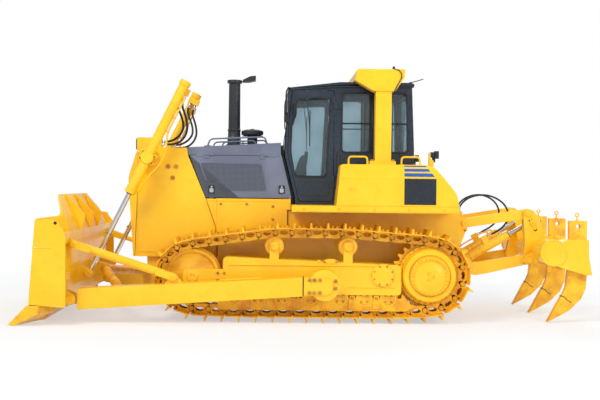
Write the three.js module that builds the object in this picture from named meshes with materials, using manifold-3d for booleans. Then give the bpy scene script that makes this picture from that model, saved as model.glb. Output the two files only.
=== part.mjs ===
// A large track-type bulldozer: semi-U blade at the front, three-shank ripper behind, enclosed cab with a
// roll-over frame, and one track on each side. Millimetres; +X forward, +Y to the operator's left, +Z up.
// The origin is on the ground, midway between the idlers and the sprockets, on the centre plane.
import * as THREE from "three";
import { mergeVertices } from "three/addons/utils/BufferGeometryUtils.js";
import Module from "manifold-3d";

const wasm = await Module();
wasm.setup();

// ---------- driving dimensions ----------

const GAP = 0.3; // between pieces that seat on each other
const RUN = 0.5; // least clearance of a pin in its bore, on the radius
const SWING = 6; // side clearance of a piece that swings beside another

const track = {
  gauge: 2000, // between the centre planes of the two tracks
  shoes: 41,
  shoeWidth: 560,
  plate: 12, // thickness of a shoe's plate
  grouser: 65, // height of the bar on a shoe
  grouserRoot: 17, // half width of the bar where it leaves the plate
  grouserTip: 7,
  plateOuter: 69, // from the line of the pins out to a plate's face
  railInner: 65, // from the line of the pins in to the face that rolls on the wheels
  railWidth: 42,
  railPlace: 76, // of a rail's middle from the track's centre plane
  slack: GAP, // between the rail and the rollers it runs on
  bend: 3, // more room at the idler, where the rail turns in short straights
};
const groundPin = track.plateOuter + track.grouser;

const idler = { x: 1525, z: 570, r: 350, width: 212, flange: 22, flangeWidth: 96 };
const sprocket = {
  x: -1525, z: 610, pinR: 451, teeth: 26, tip: 24, root: 36, width: 76,
  drumR: 340, coverR: 252, drumOut: 215, coverOut: 262, hubIn: -290,
};
const roller = { xs: [980, 680, 370, 0, -380, -690, -1000], r: 110, half: 148 };
const carrier = { xs: [475, -475], z: 970, r: 105, half: 130, stand: 118 };
const frameBeam = { front: 1135, rear: -1165, top: 830, bottom: 352, half: 165 };

const hull = { half: 600, belly: 450, bay: 1172, rear: -2000, nose: 2180 };
const deck = { z0: 1415, z1: 1500, front: 255, rear: -1890, half: 1222 };
const guard = { half: 662, bottom: 784, top: 2244, front: 2309, maskGap: 6 };
const hood = { half: 640, sheet: 14, split: 2146 };
const bay = { front: 1240, rear: 300 }; // the engine's room along X
const cab = {
  half: 684, wall: 46, roof: 3090, roofTop: 3142,
  frontFoot: 207, frontWaist: 362, frontHead: 289, waist: 2164, rearHead: -1341, rearFoot: -1376,
};
const fender = { inner: 712, outer: 1222, crease: 1866, top: 2036, lean: 60 };
const rops = {
  y0: 842, y1: 1030, x0: -1029, x1: -822, foot: fender.top + GAP, neck: 3000, under: 3165, top: 3280,
};

const blade = {
  straight: 1300, // half width of the straight middle
  half: 1800, // half width over the end plates
  wing: Math.tan(THREE.MathUtils.degToRad(25)),
  foot: 250, top: 1310, guardTop: 1600, guardHalf: 900, plate: 36,
};
const arm = {
  pivotX: -160, pivotZ: 510, ballR: 105, y0: track.gauge / 2 + track.shoeWidth / 2 + 55, thick: 213,
  front: 2930, pinX: 3020, pinZ: 300, pinR: 38,
};
arm.y1 = arm.y0 + arm.thick;
const brace = { frontX: 3000, frontZ: 986, rearX: 1735, rearZ: 584, r: 53, y: arm.y0 + arm.thick / 2 };
const stabiliser = { x: 2845, z: 560, r: 62, armX: 2450, armZ: 420 };
const lift = {
  y: 920, pivotX: 2150, pivotZ: 2100, rodX: 2900, rodZ: 580,
  headX: 1674, headZ: 3109, barrelR: 63, rodR: 32, glandOut: 520, trunnionR: 44,
};
const ripper = {
  lowX: -2075, lowZ: 659, beamLowX: -2938, beamLowZ: 797, lowPinR: 42,
  highX: -2082, highZ: 1268, beamHighX: -2945, beamHighZ: 1406, highPinR: 34,
  cylX: -2100, cylZ: 745, rodX: -3014, rodZ: 1277, cylPinR: 36,
  barrelR: 59, rodR: 30, barrel: 720, link: 60, arm: 82, eye: 126, plate: 30, inner: 267,
  tubeX: -3138, tubeZ: 919, tubeR: 160, tubeHalf: 1098,
  spacing: 950, shankWidth: 228, shankThick: 76, pocket: 150,
  shankX: -3485, shankTop: 1333, pinZ: 1065,
};

// ---------- finishes ----------

const finish = {
  yellow: { color: 0xf9c80e, roughness: 0.42, metalness: 0 },
  slate: { color: 0x737a8e, roughness: 0.5, metalness: 0 },
  cabPaint: { color: 0x2a3440, roughness: 0.45, metalness: 0 },
  glass: { color: 0x7c97a0, roughness: 0.08, metalness: 0, transparent: true, opacity: 0.4 },
  black: { color: 0x1d2024, roughness: 0.7, metalness: 0 },
  chrome: { color: 0xc9ccd0, roughness: 0.12, metalness: 1 },
  castIron: { color: 0x4a4c4f, roughness: 0.7, metalness: 0.6 },
  rubber: { color: 0x17181a, roughness: 0.8, metalness: 0 },
};

// ---------- helpers ----------

// The closed solid of a three.js geometry.
function solid(geometry) {
  const bare = geometry.index ? geometry.toNonIndexed() : geometry.clone();
  bare.deleteAttribute("normal");
  bare.deleteAttribute("uv");
  const merged = mergeVertices(bare, 1e-3);
  const vertProperties = new Float32Array(merged.attributes.position.array);
  const triVerts = new Uint32Array(merged.index.array);
  return new wasm.Manifold(new wasm.Mesh({ numProp: 3, vertProperties, triVerts }));
}

const join = (...pieces) => pieces.flat().reduce((whole, piece) => whole.add(piece));
const cut = (whole, ...tools) => tools.flat().reduce((rest, tool) => rest.subtract(tool), whole);

// An outline through corners [u, v] or [u, v, r]; r is how far from the corner its rounding starts.
function outline(corners) {
  const shape = new THREE.Shape();
  const at = (i) => new THREE.Vector2(...corners[(i + corners.length) % corners.length].slice(0, 2));
  corners.forEach(([u, v, r = 0], i) => {
    const towards = (j) => at(i).add(at(j).sub(at(i)).setLength(r));
    const start = r ? towards(i - 1) : at(i);
    if (i) shape.lineTo(start.x, start.y);
    else shape.moveTo(start.x, start.y);
    const end = towards(i + 1);
    if (r) shape.quadraticCurveTo(u, v, end.x, end.y);
  });
  return shape;
}

const extrude = (shape, depth, curveSegments = 3) =>
  new THREE.ExtrudeGeometry(shape, { depth, curveSegments, bevelEnabled: false });

// Outline in X and Z, thick from y0 to y1.
const plateOf = (shape, y0, y1) =>
  solid(extrude(shape, y1 - y0).rotateX(Math.PI / 2).translate(0, y1, 0));
const plate = (corners, y0, y1) => plateOf(outline(corners), y0, y1);

// Outline in X and Y, thick from z0 to z1.
const slab = (corners, z0, z1) => solid(extrude(outline(corners), z1 - z0).translate(0, 0, z0));

// Outline in Y and Z, thick from x0 to x1.
const AXES_YZX = new THREE.Matrix4().makeBasis(
  new THREE.Vector3(0, 1, 0), new THREE.Vector3(0, 0, 1), new THREE.Vector3(1, 0, 0));
const wall = (corners, x0, x1) =>
  solid(extrude(outline(corners), x1 - x0).applyMatrix4(AXES_YZX).translate(x0, 0, 0));

const box = (x0, x1, y0, y1, z0, z1) =>
  solid(new THREE.BoxGeometry(x1 - x0, y1 - y0, z1 - z0)
    .translate((x0 + x1) / 2, (y0 + y1) / 2, (z0 + z1) / 2));

// A round bar between two points, with an optional second radius at its far end.
function bar(from, to, r, sides = 12, endR = r) {
  const a = new THREE.Vector3(...from);
  const b = new THREE.Vector3(...to);
  const geometry = new THREE.CylinderGeometry(endR, r, a.distanceTo(b), sides);
  const turn = new THREE.Quaternion().setFromUnitVectors(
    new THREE.Vector3(0, 1, 0), b.clone().sub(a).normalize());
  const middle = a.add(b).multiplyScalar(0.5);
  return solid(geometry.applyQuaternion(turn).translate(...middle));
}

// A round bar across the machine.
const across = (x, z, r, y0, y1, sides = 12) => bar([x, y0, z], [x, y1, z], r, sides);

// A bar with rounded edges along a smooth route.
function tube(points, r, steps, sides = 8) {
  const section = new THREE.Shape();
  for (let i = 0; i < sides; i += 1) {
    const angle = (i / sides) * 2 * Math.PI;
    section[i ? "lineTo" : "moveTo"](r * Math.cos(angle), r * Math.sin(angle));
  }
  const route = new THREE.CatmullRomCurve3(points.map((p) => new THREE.Vector3(...p)));
  return solid(new THREE.ExtrudeGeometry(section, { steps, extrudePath: route, bevelEnabled: false }));
}

// A point at a share of the way from one [x, z] to another, moved sideways by off.
function between([x0, z0], [x1, z1], share, off = 0) {
  const length = Math.hypot(x1 - x0, z1 - z0);
  const along = [(x1 - x0) / length, (z1 - z0) / length];
  return [x0 + (x1 - x0) * share - along[1] * off, z0 + (z1 - z0) * share + along[0] * off];
}

// A flat link between two pins, each end rounded about its pin.
function linkPlate([x0, z0], [x1, z1], r0, r1, y0, y1) {
  const side = Math.atan2(z1 - z0, x1 - x0) + Math.PI / 2;
  const shape = new THREE.Shape();
  shape.absarc(x0, z0, r0, side, side + Math.PI, false);
  shape.absarc(x1, z1, r1, side + Math.PI, side, false);
  return plateOf(shape, y0, y1);
}

// A plate that stands on the edge from corner a to corner b and is rounded about a pin.
function ear(a, b, [x, z], r, y0, y1) {
  const back = Math.atan2((a[1] + b[1]) / 2 - z, (a[0] + b[0]) / 2 - x);
  const turn = (a[0] - x) * (b[1] - z) - (a[1] - z) * (b[0] - x);
  const [first, last] = turn < 0 ? [a, b] : [b, a];
  const shape = new THREE.Shape();
  shape.moveTo(...last);
  shape.lineTo(...first);
  shape.absarc(x, z, r, back + Math.PI / 2, back - Math.PI / 2, false);
  return plateOf(shape, y0, y1);
}

const machine = new THREE.Group();

function add(name, shape, look) {
  const { vertProperties, triVerts } = shape.getMesh();
  const geometry = new THREE.BufferGeometry()
    .setAttribute("position", new THREE.BufferAttribute(vertProperties, 3))
    .setIndex(new THREE.BufferAttribute(triVerts, 1));
  geometry.computeVertexNormals();
  const piece = new THREE.Mesh(geometry, new THREE.MeshStandardMaterial(look));
  piece.name = name;
  machine.add(piece);
  return piece;
}

// The same piece on the left side and, mirrored, on the right.
function addPair(name, shape, look) {
  add(name + "_left", shape, look);
  add(name + "_right", shape, look).scale.y = -1;
}

// Both mirror images of a shape that is drawn on the left, as a list.
function bothSides(make) {
  return [1, -1].map((side) => make((y0, y1) => (side > 0 ? [y0, y1] : [-y1, -y0]), side));
}

// A bore across the machine for a pin of radius r. Its flats lie over the pin's corners and clear them
// however the pin turns.
function bore(x, z, r, y0, y1, sides = 12) {
  const radius = (r + RUN) / Math.cos(Math.PI / sides);
  const geometry = new THREE.CylinderGeometry(radius, radius, y1 - y0, sides);
  return solid(geometry.rotateY(Math.PI / sides).translate(x, (y0 + y1) / 2, z));
}

// The same corners moved outwards by a distance, or inwards when it is negative.
function grow(corners, by) {
  const points = corners.map(([u, v]) => new THREE.Vector2(u, v));
  const sign = THREE.ShapeUtils.isClockWise(points) ? -1 : 1;
  const edge = (i) => {
    const n = points.length;
    const along = points[(i + 1) % n].clone().sub(points[(i + n) % n]).normalize();
    return new THREE.Vector2(along.y, -along.x).multiplyScalar(sign);
  };
  return corners.map(([u, v, r = 0], i) => {
    const before = edge(i ? i - 1 : corners.length - 1);
    const after = edge(i);
    const out = before.clone().add(after).multiplyScalar(by / (1 + before.dot(after)));
    return [u + out.x, v + out.y, r];
  });
}

// ---------- undercarriage ----------

const railRun = track.railInner + track.slack;
const rollerZ = groundPin + railRun + roller.r;

// The wheels that a track wraps, in the order in which it passes them, with the radius of its pins.
const wheels = [
  { x: idler.x, z: idler.z, r: idler.r + railRun + track.bend },
  ...carrier.xs.map((x) => ({ x, z: carrier.z, r: carrier.r + railRun })),
  { x: sprocket.x, z: sprocket.z, r: sprocket.pinR },
  ...[roller.xs.at(-1), roller.xs[0]].map((x) => ({ x, z: rollerZ, r: roller.r + railRun })),
];

// Where a tight loop leaves wheel a for wheel b, as the angle of that point about either centre.
const leaving = (a, b) =>
  Math.atan2(b.z - a.z, b.x - a.x) - Math.acos((a.r - b.r) / Math.hypot(b.x - a.x, b.z - a.z));

const arcs = wheels.map((wheel, i) => {
  const from = leaving(wheels.at(i - 1), wheel);
  let to = leaving(wheel, wheels[(i + 1) % wheels.length]);
  while (to < from - 1e-9) to += 2 * Math.PI;
  return { ...wheel, from, to };
});

// The smooth loop of the pins, moved outwards by a distance.
const ARC_STEP = THREE.MathUtils.degToRad(12);
const smoothLoop = (out) => arcs.flatMap(({ x, z, r, from, to }) => {
  const steps = Math.max(1, Math.ceil((to - from) / ARC_STEP));
  return Array.from({ length: steps + 1 }, (_, i) => {
    const angle = from + ((to - from) * i) / steps;
    return [x + (r + out) * Math.cos(angle), z + (r + out) * Math.sin(angle)];
  });
});

const pinPath = new THREE.Path();
arcs.forEach(({ x, z, r, from, to }) => pinPath.absarc(x, z, r, from, to, false));
pinPath.closePath();
const pins = pinPath.getSpacedPoints(track.shoes).slice(0, track.shoes);

// Each link's middle, direction and outward normal.
const links = pins.map((pin, i) => {
  const next = pins[(i + 1) % track.shoes];
  const along = next.clone().sub(pin);
  const half = along.length() / 2;
  along.normalize();
  return { middle: pin.clone().lerp(next, 0.5), along, out: new THREE.Vector2(along.y, -along.x), half };
});

// The loop of straight links, moved outwards by a distance.
const linkedLoop = (out) => pins.map((pin, i) => {
  const before = links.at(i - 1).out;
  const normal = before.clone().add(links[i].out);
  return pin.clone().addScaledVector(normal, out / (1 + before.dot(links[i].out)));
});

// A ring between two loops, as a shape with a hole.
function ring(outer, inner) {
  const points = (loop) => loop.map((p) => (p.isVector2 ? p : new THREE.Vector2(...p)));
  const shape = new THREE.Shape(points(outer));
  shape.holes.push(new THREE.Path(points(inner)));
  return shape;
}

function trackLoop() {
  const middle = track.gauge / 2;
  const seam = 3; // half the gap between two shoes' plates
  const outer = links.flatMap(({ middle: m, along, out, half }) => {
    const end = half - seam;
    const grouser = track.grouserRoot + 8 - end;
    return [
      [-end, track.plateOuter], [grouser - track.grouserRoot, track.plateOuter],
      [grouser - track.grouserTip, groundPin], [grouser + track.grouserTip, groundPin],
      [grouser + track.grouserRoot, track.plateOuter], [end, track.plateOuter],
    ].map(([s, t]) => m.clone().addScaledVector(along, s).addScaledVector(out, t));
  });
  const shoes = plateOf(
    ring(outer, linkedLoop(track.plateOuter - track.plate)),
    middle - track.shoeWidth / 2, middle + track.shoeWidth / 2);
  const railShape = ring(linkedLoop(track.plateOuter - track.plate / 2), smoothLoop(-track.railInner));
  const rails = [-1, 1].map((side) => {
    const y = middle + side * track.railPlace;
    return plateOf(railShape, y - track.railWidth / 2, y + track.railWidth / 2);
  });
  return join(shoes, rails);
}

function drivingSprocket() {
  const middle = track.gauge / 2;
  const { x, z } = sprocket;
  const rearmost = pins.reduce((best, pin) => (pin.x < best.x ? pin : best));
  const phase = Math.atan2(rearmost.y - z, rearmost.x - x);
  const pitch = (2 * Math.PI) / sprocket.teeth;
  const teeth = Array.from({ length: sprocket.teeth }, (_, i) => phase + (i + 0.5) * pitch)
    .flatMap((angle) => [
      [sprocket.pinR - sprocket.root, -0.3], [sprocket.pinR + sprocket.tip, -0.12],
      [sprocket.pinR + sprocket.tip, 0.12], [sprocket.pinR - sprocket.root, 0.3],
    ].map(([r, share]) => [
      x + r * Math.cos(angle + share * pitch), z + r * Math.sin(angle + share * pitch),
    ]));
  return join(
    plate(teeth, middle - sprocket.width / 2, middle + sprocket.width / 2),
    across(x, z, sprocket.drumR, middle + sprocket.hubIn / 2, middle + sprocket.drumOut, 24),
    across(x, z, sprocket.coverR, middle + sprocket.drumOut - 1, middle + sprocket.coverOut, 24),
    across(x, z, sprocket.coverR, hull.half + GAP, middle + sprocket.hubIn / 2 + 1, 24));
}

const idlerAxleR = 52;
const yoke = { y: 128, thick: 36, top: 668, bottom: 470, front: 1650 };

function idlerWheel() {
  const middle = track.gauge / 2;
  const { x, z, r } = idler;
  const disc = (radius, half, sides) => across(x, z, radius, middle - half, middle + half, sides);
  return join(
    disc(r, idler.width / 2, 32),
    disc(r + idler.flange, idler.flangeWidth / 2, 32),
    disc(idlerAxleR, yoke.y + yoke.thick + 14, 12));
}

const pivotShaft = { x: -920, z: 610, r: 96, capR: 140 };
const equaliser = { x0: 830, x1: 960, z0: 500, z1: 610 };

function trackFrame() {
  const middle = track.gauge / 2;
  const { front, rear, top, bottom, half } = frameBeam;
  const beam = plate([
    [front, bottom, 40], [front, top, 60], [rear, top - 90, 60], [rear, bottom, 60],
  ], middle - half, middle + half);
  const rollers = roller.xs.map((x) =>
    across(x, rollerZ, roller.r, middle - roller.half, middle + roller.half));
  const carriers = carrier.xs.flatMap((x) => [
    across(x, carrier.z, carrier.r, middle - carrier.half, middle + carrier.half),
    plate([
      [x - carrier.stand / 2, top - 100], [x + carrier.stand / 2, top - 100],
      [x + carrier.stand / 2, carrier.z + 58, 30], [x - carrier.stand / 2, carrier.z + 58, 30],
    ], middle + carrier.half - 2, middle + half),
  ]);
  const yokes = [-1, 1].map((side) => {
    const y = [yoke.y, yoke.y + yoke.thick].map((out) => middle + side * out).sort((a, b) => a - b);
    return cut(plate([
      [front - 60, yoke.bottom], [yoke.front, yoke.bottom, 60], [yoke.front, yoke.top, 60],
      [front - 60, yoke.top],
    ], ...y), bore(idler.x, idler.z, idlerAxleR, y[0] - 1, y[1] + 1));
  });
  const toothRoom = across(sprocket.x, sprocket.z, sprocket.pinR + sprocket.tip + 12,
    middle - sprocket.width / 2 - 8, middle + sprocket.width / 2 + 8, 24);
  return join(
    cut(beam, toothRoom), rollers, carriers, yokes,
    across(pivotShaft.x, pivotShaft.z, pivotShaft.capR, middle + half - 1, middle + half + 27, 16),
    across(pivotShaft.x, pivotShaft.z, pivotShaft.r, hull.half + GAP, middle - half + 1),
    box(equaliser.x0, equaliser.x1, hull.half + GAP, middle - half + 1, equaliser.z0, equaliser.z1),
    across(arm.pivotX, arm.pivotZ, arm.ballR, middle + half - 1, arm.y1 - 48, 16));
}

// ---------- hull, guard and engine ----------

const hullTop = deck.z0 - GAP;
const skirt = { out: 640, sheet: 22, top: 1570, front: 1262 };

// Plates that carry the ripper's pins, one between each pair of neighbouring moving pieces.
const ripperY = (() => {
  const { inner, eye, link, arm: armWide, plate: t } = ripper;
  const eyeIn = inner;
  const eyeOut = eyeIn + eye;
  const linkIn = eyeOut + 2 * SWING + t;
  const linkOut = linkIn + link;
  const armIn = linkOut + 2 * SWING + t;
  const armOut = armIn + armWide;
  return {
    eyeIn, eyeOut, linkIn, linkOut, armIn, armOut,
    plates: [eyeIn - SWING - t, eyeOut + SWING, linkOut + SWING, armOut + SWING],
  };
})();

const PIN_OVER = 24; // how far a pin's head stands out of its plate

// The plates at the given places, each cut from one outline, on both sides of the machine.
const plateSet = (corners, places) => bothSides((span) =>
  places.map((y) => plate(corners, ...span(y, y + ripper.plate)))).flat();

// A pin across both sides of the machine, from y0 out to y1.
const pinSet = (x, z, r, y0, y1) => bothSides((span) => across(x, z, r, ...span(y0, y1)));

function mainHull() {
  const { half, belly, rear, nose, bay: bayFloor } = hull;
  const body = plate([
    [rear, 560], [rear, hullTop], [bay.rear, hullTop], [bay.rear, bayFloor], [bay.front, bayFloor],
    [bay.front, guard.bottom - GAP], [nose, guard.bottom - GAP], [nose, 640], [nose - 170, belly],
    [rear + 170, belly],
  ], -half, half);
  const skirts = bothSides((span) => [
    box(bay.rear + 8, skirt.front, ...span(skirt.out - skirt.sheet, skirt.out), bayFloor - 60, skirt.top),
    box(bay.rear + 8, skirt.front, ...span(half - 10, skirt.out), bayFloor - 60, bayFloor),
  ]).flat();
  const [p0, p1, p2, p3] = ripperY.plates;
  const lowLug = [
    [rear + 60, 570], [rear + 60, 900], [rear - 60, 850], [rear - 165, 770, 30], [rear - 160, 690, 30],
    [rear - 120, 590, 30],
  ];
  const highLug = [
    [rear + 60, 940], [rear + 60, 1385], [rear - 90, 1345, 30], [rear - 150, 1268, 40],
    [rear - 120, 1190, 30], [rear - 30, 960],
  ];
  const beam = box(rear, rear + 90, -p3 - ripper.plate, p3 + ripper.plate, 570, 900);
  const hoseOutlets = bothSides((span) => box(rear - 130, rear + 10, ...span(40, 140), 1330, 1420));
  return join(
    body, skirts, beam, hoseOutlets,
    plateSet(lowLug, [p0, p1, p2, p3]), plateSet(highLug, [p1, p2]),
    pinSet(ripper.lowX, ripper.lowZ, ripper.lowPinR, p2, p3 + ripper.plate + PIN_OVER),
    pinSet(ripper.highX, ripper.highZ, ripper.highPinR, p1, p2 + ripper.plate + PIN_OVER),
    pinSet(ripper.cylX, ripper.cylZ, ripper.cylPinR, p0, p1 + ripper.plate / 2));
}

// The guard's rear edge beside the hood, and how far back it lies at a height.
const guardEdge = [[1644, 2141], [1660, guard.top]];
const guardBack = (z) => {
  const [[x0, z0], [x1, z1]] = guardEdge;
  return x0 + ((x1 - x0) * (z - z0)) / (z1 - z0);
};

const liftBracket = { half: 105, y: lift.y - lift.barrelR - 62 };

function radiatorGuard() {
  const housing = plate([
    [bay.front + 30, guard.bottom], [bay.front + 30, 1193], [1407, 1576], ...guardEdge,
    [2250, guard.top, 40], [guard.front, 2180], [guard.front, 1700], [guard.front + 27, guard.bottom],
  ], -guard.half, guard.half);
  const sides = bothSides((span) => [
    plate([
      [lift.pivotX - 150, 2000, 40], [lift.pivotX + 130, 1990, 40], [lift.pivotX + 110, 2190, 50],
      [lift.pivotX - 110, 2200, 50],
    ], ...span(guard.half - 10, liftBracket.y)),
    across(lift.pivotX, lift.pivotZ, lift.trunnionR, ...span(liftBracket.y - 2, lift.y - lift.barrelR + 23)),
    box(2110, 2340, ...span(330, 560), 2200, 2380),
    box(2001, 2052, ...span(570, 660), 2200, 2352),
  ]).flat();
  return join(housing, sides);
}

function radiatorMask() {
  const { front, half, bottom, maskGap } = guard;
  const back = front + maskGap;
  const frame = plate([
    [back + 27, bottom], [2362, bottom], [2438, 1841, 60], [2332, 2188], [back, 2188], [back, 1700],
  ], -half, half);
  const inner = plate([
    [front + 24 + GAP, bottom + 100], [front + GAP, 1700], [front + GAP, 2150], [2330, 2150], [2356, bottom + 100],
  ], 60 - half, half - 60);
  return join(frame, inner);
}

const coverHinge = { y: hood.half + 10, z: 2150, r: 9 };
const coverTopFront = 1624; // behind the guard's edge by what the leaf's inner corner sinks as it lifts
const hoodRear = 402;

// Hinge knuckles along X at the top of a side cover: the hood's lie beside the cover's.
const knuckleXs = [560, 1300];
const knuckleLength = 60;

const hoodSide = [
  [guardBack(hood.split + 6) - GAP, hood.split + 6], [guardBack(guard.top) - GAP, guard.top + 6],
  [hoodRear, 2324], [hoodRear, hood.split],
];

function engineHood() {
  const { half, sheet, split } = hood;
  const outer = plate(hoodSide, -half, half);
  const inner = plate(grow(hoodSide, -sheet).map(([x, z]) => (z < split + 2 * sheet ? [x, z - 3 * sheet] : [x, z])),
    -half + sheet, half - sheet);
  const hinges = bothSides((span, side) => knuckleXs.map((x) => join(
    bar([x, side * coverHinge.y, coverHinge.z], [x + knuckleLength, side * coverHinge.y, coverHinge.z],
      coverHinge.r, 12),
    box(x, x + knuckleLength, ...span(half - 2, coverHinge.y), coverHinge.z + 2, coverHinge.z + 30))));
  return join(cut(outer, inner), hinges.flat());
}

// The left side cover of the engine, hinged along its top edge.
const coverLeaf = 26;

function engineCover() {
  const { half, split } = hood;
  const leaf = plate([
    [252, skirt.top + 12], [388, split - 4], [coverTopFront, split], [1403, skirt.top + 12],
  ], half - coverLeaf, half);
  const hinges = knuckleXs.map((x0) => {
    const x = x0 + knuckleLength + 0.5;
    return join(
      bar([x, coverHinge.y, coverHinge.z], [x + knuckleLength, coverHinge.y, coverHinge.z], coverHinge.r, 12),
      box(x, x + knuckleLength, half - 2, coverHinge.y, split - 40, split - 1));
  });
  return join(leaf, hinges);
}

const exhaust = { x: 1025, y: 60, r: 68, top: 3160, boot: 92 };
const precleaner = { x: 800, y: 60, r: 120, top: 2440 };

// What lies below the hood's top, with the gap that a piece standing on it keeps.
const underHood = () => plate(grow(hoodSide, GAP), -hood.half, hood.half);

// A tall pipe with a flared foot and a mouth cut at a slant.
function exhaustStack() {
  const { x, y, r, top, boot } = exhaust;
  const foot = 2230;
  const pipe = cut(join(
    bar([x, y, foot], [x, y, top], r, 16),
    bar([x, y, foot], [x, y, foot + 190], boot, 16)), underHood());
  const mouth = bar([x, y, top - 240], [x, y, top + 1], r - 6, 16);
  const slant = plate([[x - 200, top - 90], [x - 200, top + 20], [x + 200, top + 20], [x + 200, top + 1]],
    y - 200, y + 200);
  return cut(pipe, mouth, slant);
}

function airPrecleaner() {
  const { x, y, r, top } = precleaner;
  const foot = 2230;
  const profile = [[0, foot], [60, foot], [60, top - 76], [r, top - 60], [r, top - 14], [r - 22, top], [0, top]];
  const body = solid(new THREE.LatheGeometry(profile.map((p) => new THREE.Vector2(...p)), 16)
    .rotateX(Math.PI / 2).translate(x, y, 0));
  return cut(body, underHood());
}

function engineBlock() {
  return box(430, 1200, -330, 330, hull.bay + GAP, 2060);
}

// ---------- deck, fenders and tank ----------

function platformDeck() {
  return slab([
    [deck.front, -deck.half], [deck.front, deck.half], [deck.rear, deck.half], [deck.rear, -deck.half],
  ], deck.z0, deck.z1);
}

const onDeck = deck.z1 + GAP;

// A box fender over the track whose upper side leans in.
function sideFender() {
  const { inner, outer, crease, top, lean } = fender;
  const side = plate([
    [-313, onDeck], [-366, top, 40], [-1552, top, 90], [-1867, 1653, 60], [-1886, onDeck],
  ], inner - 1, outer + 1);
  const section = wall([
    [inner, onDeck], [outer, onDeck], [outer, crease], [outer - lean, top + 1], [inner, top + 1],
  ], -1900, -300);
  return side.intersect(section);
}

function fuelTank() {
  return plate([[-1425, onDeck], [-1425, 1985, 50], [-1560, 1985, 70], [-1862, 1640, 60], [-1880, onDeck]],
    -fender.inner + 10, fender.inner - 10);
}

// ---------- cab ----------

const cabSide = [
  [cab.frontFoot, onDeck], [cab.frontFoot, 1593], [cab.frontWaist - 12, cab.waist],
  [cab.frontHead, cab.roof], [cab.rearHead, cab.roof], [cab.rearFoot, 2255], [cab.rearFoot, onDeck],
];
const doorSide = [
  [150, 1545, 30], [172, 1620], [310, 2180], [292, 2640], [255, 3022, 30], [-300, 3022, 30], [-300, 1545, 30],
];
const doorGlassSide = [
  [200, 2905, 30], [-255, 2925, 30], [-205, 1875, 30], [208, 1875, 30], [270, 2200], [262, 2600, 20],
  [200, 2690, 20],
];
const sideGlass = [
  [-408, 2205, 60], [-408, 3000, 60], [-1270, 3000, 60], [-1290, 2205, 60],
];
const rearGlass = [[-520, 2250, 60], [520, 2250, 60], [520, 2985, 60], [-520, 2985, 60]];
const frontGlass = { half: 585, low: 0.03, high: 0.94 };
const doorHinge = { x: -306, y: cab.half + 12, r: 11, zs: [1720, 2780], length: 90 };
const PANE = 8;
const DOOR_GAP = 6;

// The slanted glass of the windscreen, thick through the wall from one depth to another.
function screenSlab(half, deepOut, deepIn, shrink = 0) {
  const foot = [cab.frontWaist - 12, cab.waist];
  const head = [cab.frontHead, cab.roof];
  const reach = cab.roof - cab.waist;
  const low = frontGlass.low + shrink / reach;
  const high = frontGlass.high - shrink / reach;
  return plate([
    between(foot, head, low, -deepOut), between(foot, head, high, -deepOut),
    between(foot, head, high, deepIn), between(foot, head, low, deepIn),
  ], -half, half);
}

function cabFrame() {
  const { half, wall: t, roof } = cab;
  const outer = plate(cabSide, -half, half);
  const room = cabSide.map(([x, z]) => [x, z]);
  const inner = plate(grow(room, -t).map(([x, z]) => [x, z > roof - 2 * t ? roof + 1 : z]), -half + t, half - t);
  const openings = bothSides((span) => [
    plate(grow(doorSide, DOOR_GAP), ...span(half - t - 1, half + 1)),
    plate(sideGlass, ...span(half - t - 1, half + 1)),
  ]).flat();
  const rear = wall(rearGlass, cab.rearFoot - 1, cab.rearHead + t + 1);
  const hinges = bothSides((span, side) => doorHinge.zs.map((z) => join(
    bar([doorHinge.x, side * doorHinge.y, z], [doorHinge.x, side * doorHinge.y, z + doorHinge.length],
      doorHinge.r, 12),
    box(doorHinge.x - 34, doorHinge.x, ...span(half - 2, doorHinge.y + 4), z, z + doorHinge.length))));
  return join(
    cut(outer, inner, openings, rear, screenSlab(frontGlass.half, t, t + 30)),
    hinges.flat());
}

function cabRoof() {
  const lip = 14;
  const base = cab.roof + GAP;
  return plate([
    [cab.frontHead + 26, base], [cab.frontHead + 20, cab.roofTop - 12, 10], [cab.frontHead - 60, cab.roofTop],
    [cab.rearHead + 60, cab.roofTop], [cab.rearHead - lip, cab.roofTop - 16], [cab.rearHead - lip, base],
  ], -cab.half - lip, cab.half + lip);
}

function cabDoor() {
  const { half, wall: t } = cab;
  const hinges = doorHinge.zs.map((z0) => {
    const z = z0 + doorHinge.length + 0.5;
    return join(
      bar([doorHinge.x, doorHinge.y, z], [doorHinge.x, doorHinge.y, z + doorHinge.length], doorHinge.r, 12),
      box(doorHinge.x, doorHinge.x + 40, half - 2, doorHinge.y + 4, z, z + doorHinge.length));
  });
  return join(
    cut(plate(doorSide, half - t, half), plate(doorGlassSide, half - t - 1, half + 1)),
    hinges);
}

// A pane that fills an opening in a wall of the given outline.
const paneY = [cab.half - 26 - PANE, cab.half - 26];
const doorGlass = () => plate(grow(doorGlassSide, -GAP), ...paneY);
const sideWindow = () => plate(grow(sideGlass, -GAP), ...paneY);
const windscreen = () => screenSlab(frontGlass.half - GAP, -20, 20 + PANE, GAP);
const rearWindow = () => wall(grow(rearGlass, -GAP), cab.rearFoot + 22, cab.rearFoot + 22 + PANE);

const cabFloor = onDeck + cab.wall + GAP;
const seat = { x0: -860, x1: -360, half: 265, cushion: 1960, back: 2560 };

function operatorSeat() {
  const { x0, x1, half, cushion, back } = seat;
  return join(
    box(x0 + 90, x1 - 60, -half + 60, half - 60, cabFloor, cushion - 130),
    plate([[x0 + 60, cushion - 140, 40], [x1, cushion - 120, 50], [x1, cushion - 10, 50],
      [x0 + 100, cushion - 40]], -half, half),
    plate([[x0 + 150, cushion - 90], [x0 + 20, cushion - 90, 40], [x0 - 90, back, 50], [x0 + 20, back, 50]],
      -half + 15, half - 15));
}

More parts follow.
